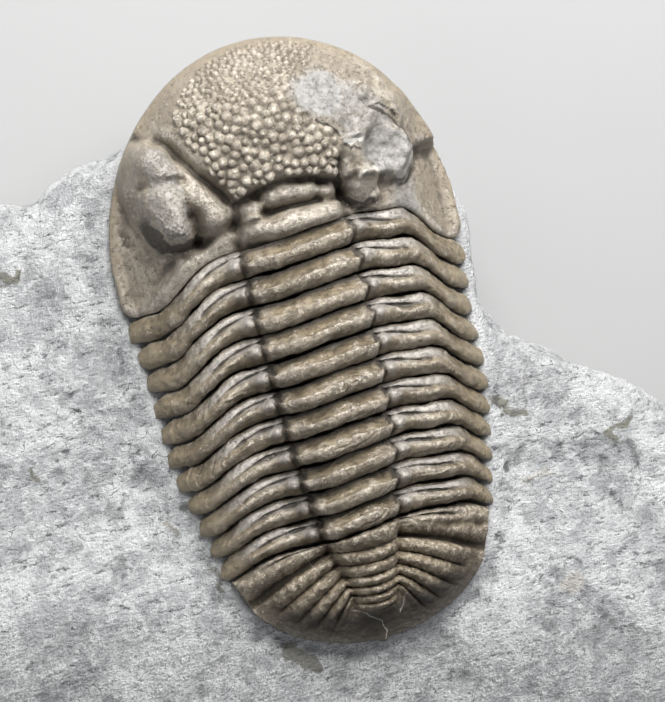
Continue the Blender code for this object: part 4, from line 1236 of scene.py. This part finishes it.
def tail_heights(x, y, place):
    reach = np.hypot(x / TAIL_HALF_WIDTH, np.minimum(0.0, y - TAIL_CENTRE_Y) / TAIL_REACH)
    front_z = crest_height(TAIL_CENTRE_Y) - PLEURA_DROP
    field = front_z + (TIP_HEIGHT - front_z) * smooth_step((reach - 0.46) / 0.54)
    field = field + (pleura_height(x, TAIL_CENTRE_Y) - field) * 0.5 * smooth_step((1.15 - place) / 0.5)
    part = place - np.floor(place)
    crest = np.maximum(0.0, np.sin(part * math.pi)) ** 0.55 * 2.0 - 1.0
    slanted = part + (0.2 - 0.25 * np.clip((np.abs(x) - 3.0) / 5.4, 0.0, 1.0)) * bell(part - 0.36, 0.24)
    flat, paddle = (
        along([(cut[1], cut[2]) for cut in cuts[3:-3]], slanted) for cuts in (FLAT_CUT, PADDLE_CUT)
    )
    front_rib = 1.0 + 1.7 * (flat + (paddle - flat) * smooth_step((np.abs(x) - 7.0) / 2.5))
    front_rib = front_rib - 1.1 * bell(place - 0.64, 0.16) * smooth_step((x - 4.0) / 3.5)
    rib = np.where(place < 1.0, front_rib, crest * smooth_step(TAIL_RIBS + 0.9 - place))
    first = smooth_step(1.6 - place)
    field = field - 0.5 * bell(place - 1.0, 0.13) * smooth_step((1.02 - reach) / 0.06)
    field = field + (0.56 + 0.24 * first) * rib * smooth_step(
        (0.96 + 0.05 * first - reach) / (0.2 - 0.1 * first)
    )
    furrow = 0.14 * bell(part - 0.3, 0.08) * smooth_step((0.75 - reach) / 0.3)
    field = field - furrow * (place < 3.0) * (place > 1.0)
    taper = np.clip((TAIL_GROOVES[0][0] - y) / (TAIL_GROOVES[0][0] - TAIL_AXIS_END_Y), 0.0, 1.0)
    half_width = TAIL_AXIS_HALF_WIDTH * (1.0 - taper / 2.0)
    axis = crest_height(TAIL_CENTRE_Y) - 3.0 * taper - 1.9 * (x / half_width) ** 2
    axis = axis + 0.45 * crest * smooth_step(TAIL_RINGS + 0.9 - place)
    cover = smooth_step((half_width - np.abs(x)) / 0.6 + 0.5) * smooth_step(y - TAIL_AXIS_END_Y)
    furrow = 0.45 * bell(np.abs(x) - half_width, 0.42) * (1.0 - taper ** 4)
    return field + (np.maximum(axis, field) - field) * cover - furrow


def tail_foot(reach, z):
    def ring(rim):
        front = rim[:, 1] > joint_middle_y(SEGMENTS) - sweep(SEGMENTS, rim[:, 0]) - PLATE_GAP / 2.0 - 0.02
        level = np.minimum(rim[:, 2] - 0.03, z)
        x = np.where(front, rim[:, 0], rim[:, 0] * reach)
        y = np.where(front, rim[:, 1], TAIL_CENTRE_Y + (rim[:, 1] - TAIL_CENTRE_Y) * reach)
        return np.column_stack((x, y, level))
    return ring


def plate_tree():
    """Fine unevenness for a plate that is already shaped."""
    tree, given, result = mesh_tree("uneven plate", (("Lumps", 0.1), ("Pits", 0.05)))
    spot = position_wire(tree).scaled(1.0 / MM)
    lumps = (noise_wire(tree, spot, 1.2, 3.0) - 0.5) * given["Lumps"]
    pits = (noise_wire(tree, spot, 5.0, 2.0) - 0.5) * given["Pits"]
    raised = push_out(tree, given["Geometry"], (lumps + pits) * MM)
    finish_tree(tree, raised, given["Material"], result)
    return tree


def make_tail():
    place = np.linspace(0.0, len(TAIL_GROOVES) - 1.0, TAIL_ROWS)[:, None]
    half = np.concatenate(
        (np.linspace(-1.0, 0.0, TAIL_AXIS_COLUMNS)[:-1], np.linspace(0.0, 1.0, TAIL_SIDE_COLUMNS))
    )
    side = np.concatenate((-np.ones(len(half) - 1), np.ones(len(half))))[None, :]
    share = np.concatenate((half[:0:-1], half))[None, :]
    x, y = tail_spots(place + 0.0 * share, side, share + 0.0 * place)
    z = tail_heights(x, y, place + 0.0 * share)
    z -= 0.55 * smooth_step(1.0 - place / 0.22)
    feet = [tail_foot(1.0, 1.1), tail_foot(1.0, 0.7), tail_foot(0.98, BED_GAP)]
    plate = closed_grid("tail_shell", np.stack((x, y, z), axis=-1), feet)
    # The front band of the first rib is marked for a painted sheen.
    front_band = smooth_step((0.5 - place) / 0.15) * smooth_step((np.abs(x) - 2.8) / 0.4)
    front_band = front_band * smooth_step((10.0 - np.abs(x)) / 2.0)
    store(plate, "painted_sheen", np.append(front_band.ravel(), np.zeros(len(plate.vertices) - x.size)))
    piece = add_piece("tail_shell", plate)
    mesh = run_tree(piece, plate_tree(), {"Lumps": 0.36, "Pits": 0.1, "Material": TAIL_SHELL})
    points = mesh_points(mesh)
    store(mesh, "vein", vein_share(points[:, 0], points[:, 1]))
    reach = np.hypot(
        points[:, 0] / TAIL_HALF_WIDTH, np.minimum(0.0, points[:, 1] - TAIL_CENTRE_Y) / TAIL_REACH
    )
    # Painted shade: the margin and the rear of the tail are darkened where they slope away from the light.
    store(mesh, "margin", smooth_step((reach - 0.62) / 0.25) * smooth_step((-13.5 - points[:, 1]) / 4.0))
    store(mesh, "dark", 0.85 * smooth_step((reach - 0.5) / 0.4) * smooth_step((-14.5 - points[:, 1]) / 4.0))
    return piece


tail = make_tail()
print("tail:", len(tail.data.vertices), "points")

# %% [markdown]
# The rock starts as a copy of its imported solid, so its outline is right by itself. The copy is
# remeshed evenly and smoothed to lose its facets, and the top, which is looked at, is split finer.
# A tree then breaks it: swells, stepped chips and grit are layers of noise along the normal.

# %% The rock
ROCK_MARKS = {
    "olive": (
        (((-22.6, 14.5), (-21.2, 14.3)), 0.55), (((-23.95, -0.8), (-23.9, -1.3)), 0.4),
        (((-14.7, -7.5), (-13.9, -8.5)), 0.3),
        (((-12.0, -12.2), (-11.3, -13.9)), 0.35), (((-7.6, -19.6), (-5.8, -21.6)), 0.75),
        (((17.1, -1.1), (16.4, -3.3), (15.8, -5.4)), 0.2),
        (((16.2, -3.0), (14.4, -4.6)), 0.1), (((13.5, -4.1), (14.4, -5.0), (15.5, -5.8)), 0.5),
        (((25.2, -6.8), (23.5, -8.3)), 0.16),
        (((23.5, -8.3), (21.9, -9.4)), 0.38),
        (((13.5, -10.4), (14.5, -11.3), (15.9, -10.9), (16.9, -11.2)), 0.22),
    ),
    "dark": (
        (((23.7, -8.2), (26.0, -9.9)), 0.12), (((23.3, -9.9), (23.5, -11.6), (24.0, -12.4)), 0.14),
        (((18.8, -7.8), (20.0, -9.6)), 0.14),
        (((13.35, -9.7), (13.5, -10.0)), 0.42), (((21.0, -13.7), (21.2, -13.8)), 0.2),
        (((12.9, -17.6), (13.9, -18.7), (14.6, -20.2)), 0.16),
        (((-12.9, -6.5), (-12.7, -6.9)), 0.35), (((13.8, -4.2), (13.6, -5.4)), 0.3),
    ),
    "cream": (
        (((16.2, -20.1), (16.4, -20.1)), 1.0), (((-14.6, -7.6), (-13.9, -8.4)), 0.22),
        (((14.8, -10.9), (16.8, -10.8)), 0.3),
    ),
}


def outside_fossil(x, y):
    """Rough distance from the fossil's outline, in its plan."""
    forward = np.maximum(0.0, y - HEAD_WIDEST_Y) / HEAD_REACH
    backward = np.maximum(0.0, TAIL_CENTRE_Y - y) / TAIL_REACH
    widest = np.interp(y, (-11.8, -5.0, 0.0, 7.0, 9.5, 11.2), (10.9, 12.4, 13.2, 13.4, 14.0, 14.1))
    return (np.sqrt((x / widest) ** 2 + forward ** 2 + backward ** 2) - 1.0) * 12.0


def rock_tree():
    tree, given, result = mesh_tree("broken rock", (("Swell", 0.55), ("Chips", 0.3), ("Grit", 0.16)))
    spot = position_wire(tree).scaled(1.0 / MM)
    bend = add_node(tree, "ShaderNodeTexNoise", {"Vector": spot, "Scale": 0.5, "Detail": 3.0})
    bent = spot.vector("ADD", out(bend, "Color").vector("MULTIPLY", (2.5, 2.5, 2.5)))
    swell = (noise_wire(tree, spot, 0.16, 4.0) - 0.5) * given["Swell"] * 2.0
    chips = 0.0
    for scale, depth in ((0.35, 0.6), (0.8, 0.55), (1.7, 0.35)):
        cell = out(add_node(tree, "ShaderNodeTexVoronoi", {"Vector": bent, "Scale": scale}), "Color")
        level = out(add_node(tree, "ShaderNodeSeparateXYZ", {0: cell}), "X")
        chips = (level - 0.5) * depth + chips
    grit = noise_wire(tree, spot, 2.2, 5.0, 0.65) - 0.5
    rise = (swell + chips * given["Chips"] + grit * given["Grit"] * 2.0) * named(tree, "open")
    raised = push_out(tree, given["Geometry"], (rise + named(tree, "mark")) * MM)
    finish_tree(tree, raised, given["Material"], result)
    return tree


def rock_copy():
    """A merged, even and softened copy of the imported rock, finer on its open top."""
    build = bmesh.new()
    build.from_mesh(frame["nodes"]["matrix_slab"].data)
    bmesh.ops.remove_doubles(build, verts=build.verts, dist=1e-6)
    mesh = bpy.data.meshes.new("rock")
    build.to_mesh(mesh)
    build.free()
    piece = add_piece("rock", mesh)
    even = piece.modifiers.new("even", "REMESH")
    even.mode = "VOXEL"
    even.voxel_size = 0.445 * MM
    soften = piece.modifiers.new("soften", "SMOOTH")
    soften.factor = 0.5
    soften.iterations = 12
    bake(piece)
    build = bmesh.new()
    build.from_mesh(piece.data)
    build.faces.ensure_lookup_table()
    middles = (np.array([face.calc_center_median() for face in build.faces]) - np.array(ORIGIN)) / MM
    tops = (middles[:, 2] > -2.2) & (outside_fossil(middles[:, 0], middles[:, 1]) > -0.7)
    split = in_order(edge for face, top in zip(build.faces, tops) if top for edge in face.edges)
    bmesh.ops.subdivide_edges(build, edges=split, cuts=1, use_grid_fill=True)
    build.to_mesh(piece.data)
    build.free()
    return piece


def make_rock():
    piece = rock_copy()
    mesh = piece.data
    x, y, z = mesh_points(mesh).T
    away = outside_fossil(x, y)
    clear_of_base = smooth_step((z + SLAB_THICKNESS - 0.4) / 1.2)
    store(
        mesh, "open",
        (0.45 + 0.55 * smooth_step(away / 1.4)) * smooth_step((away + 0.6) / 0.6) * clear_of_base,
    )
    mark = 0.5 * bell(away - 0.1, 0.7) * smooth_step((z + 2.0) / 1.5)
    x, y = shaken(x, y, 0.9, 0.42, 91)
    x, y = shaken(x, y, 0.35, 0.2, 93)
    on_top = smooth_step((z + 3.0) / 1.0)
    for name, lines in ROCK_MARKS.items():
        shares = [smooth_step((width - line_distance(x, y, line)) / 0.6 + 0.35) for line, width in lines]
        share = np.max(shares, axis=0)
        # Painted shade: the dark share also grows towards the lower left, where the light falls off.
        share = np.maximum(
            share, 0.51 * smooth_step((-0.24 * x - 0.97 * y - 10.5) / 11.0) * (name == "dark")
        )
        store(mesh, name, share * on_top)
        mark = mark + {"olive": 0.15, "dark": -0.25, "cream": 0.1}[name] * share * on_top
    store(mesh, "mark", mark)
    run_tree(piece, rock_tree(), {"Material": ROCK})
    piece.data.calc_loop_triangles()
    print("rock:", len(piece.data.loop_triangles), "triangles")
    return piece


rock = make_rock()

# %% [markdown]
# Every piece now rides on the body and hides its solid.

# %% Riding and replacing
NODE_OF = {"head_shell": ("cephalon", "cephalon_calcite"), "tail_shell": ("pygidium", "pygidium_calcite")}
NODE_OF["rock"] = ("matrix_slab", "matrix_limestone")
for index in range(1, SEGMENTS + 1):
    NODE_OF[f"segment_{index:02d}_shell"] = (f"thoracic_segment_{index:02d}", "thorax_calcite")
for piece in [head, tail, rock] + segments:
    node, slot = NODE_OF[piece.name]
    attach(piece, "root")
    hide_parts(node)
print("pieces:", len(NODE_OF))

# %% [markdown]
# The floor is a plain pale sheet. The camera looks almost straight down from 270 mm, a little
# from the fossil's left, turned so that the head points up and to the left. One large soft light
# stands beyond the head, a weaker one opposite, and the room's light fills the shadows.

# %% Floor, camera and light
def make_floor():
    mesh = bpy.data.meshes.new("floor")
    mesh.from_pydata(
        [(-2.0, -2.0, 0.0), (2.0, -2.0, 0.0), (2.0, 2.0, 0.0), (-2.0, 2.0, 0.0)], [], [(0, 1, 2, 3)]
    )
    material, tree, shader, place = start_material("pale floor")
    cloud = noise_wire(tree, place, 0.02, 3.0)
    feed(
        shader.inputs["Base Color"],
        lay(tree, (0.26, 0.26, 0.256, 1.0), (cloud, (0.285, 0.285, 0.281, 1.0))),
    )
    shader.inputs["Roughness"].default_value = 0.8
    mesh.materials.append(material)
    floor = add_piece("floor", mesh)
    floor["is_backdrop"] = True


make_floor()

DISTANCE, ROLL, TILT = 270.0, math.radians(13.8), math.radians(7.0)
VIEW_WIDTH = 665.0 / 13.0
TARGET = Vector((0.46, 2.66, 10.0))
across = Vector((math.cos(TILT), 0.0, math.sin(TILT)))
toward_head = Vector((0.0, 1.0, 0.0))
outward = Vector((-math.sin(TILT), 0.0, math.cos(TILT)))
image_right = across * math.cos(ROLL) - toward_head * math.sin(ROLL)
image_up = across * math.sin(ROLL) + toward_head * math.cos(ROLL)


def face_along(right, up, back, place):
    """A placing matrix from three directions and a place in the fossil's frame."""
    turn = Matrix((right, up, back)).transposed().to_4x4()
    return Matrix.Translation(ORIGIN + place * MM) @ turn


camera_data = bpy.data.cameras.new("camera")
camera_data.sensor_fit = "HORIZONTAL"
camera_data.sensor_width = 36.0
camera_data.lens = 36.0 * DISTANCE / VIEW_WIDTH
camera_data.clip_start = 0.01
camera_data.clip_end = 10.0
camera = bpy.data.objects.new("camera", camera_data)
bpy.context.scene.collection.objects.link(camera)
camera.matrix_world = face_along(image_right, image_up, outward, TARGET + outward * DISTANCE)
bpy.context.scene.camera = camera


def add_softbox(name, direction, distance, size, power):
    light_data = bpy.data.lights.new(name, "AREA")
    light_data.shape = "SQUARE"
    light_data.size = size * MM
    light_data.energy = power
    back = direction.normalized()
    right = Vector((0.0, 0.0, 1.0)).cross(back).normalized()
    light = bpy.data.objects.new(name, light_data)
    bpy.context.scene.collection.objects.link(light)
    light.matrix_world = face_along(right, back.cross(right), back, TARGET + back * distance)


add_softbox("key softbox", image_up * 0.95 + image_right * 0.2 + outward * 1.0, 210.0, 170.0, 1.5)
add_softbox("fill softbox", image_up * -0.5 - image_right * 0.6 + outward * 1.0, 500.0, 400.0, 0.5)
world = bpy.data.worlds.new("room")
world.use_nodes = True
world.node_tree.nodes["Background"].inputs["Color"].default_value = (0.9, 0.93, 1.0, 1.0)
world.node_tree.nodes["Background"].inputs["Strength"].default_value = 0.36
bpy.context.scene.world = world
bpy.context.scene.view_settings.view_transform = "Standard"

# %% [markdown]
# The last step prints the box of the solids and the box of the finished model, because the
# looks must not change the size, and hands the scene over.

# %% Sizes and hand-over
new_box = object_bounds()
sizes = {"solids": [list(corner) for corner in cad_box], "finished": [list(corner) for corner in new_box]}
print("solids:", sizes["solids"], "finished:", sizes["finished"])
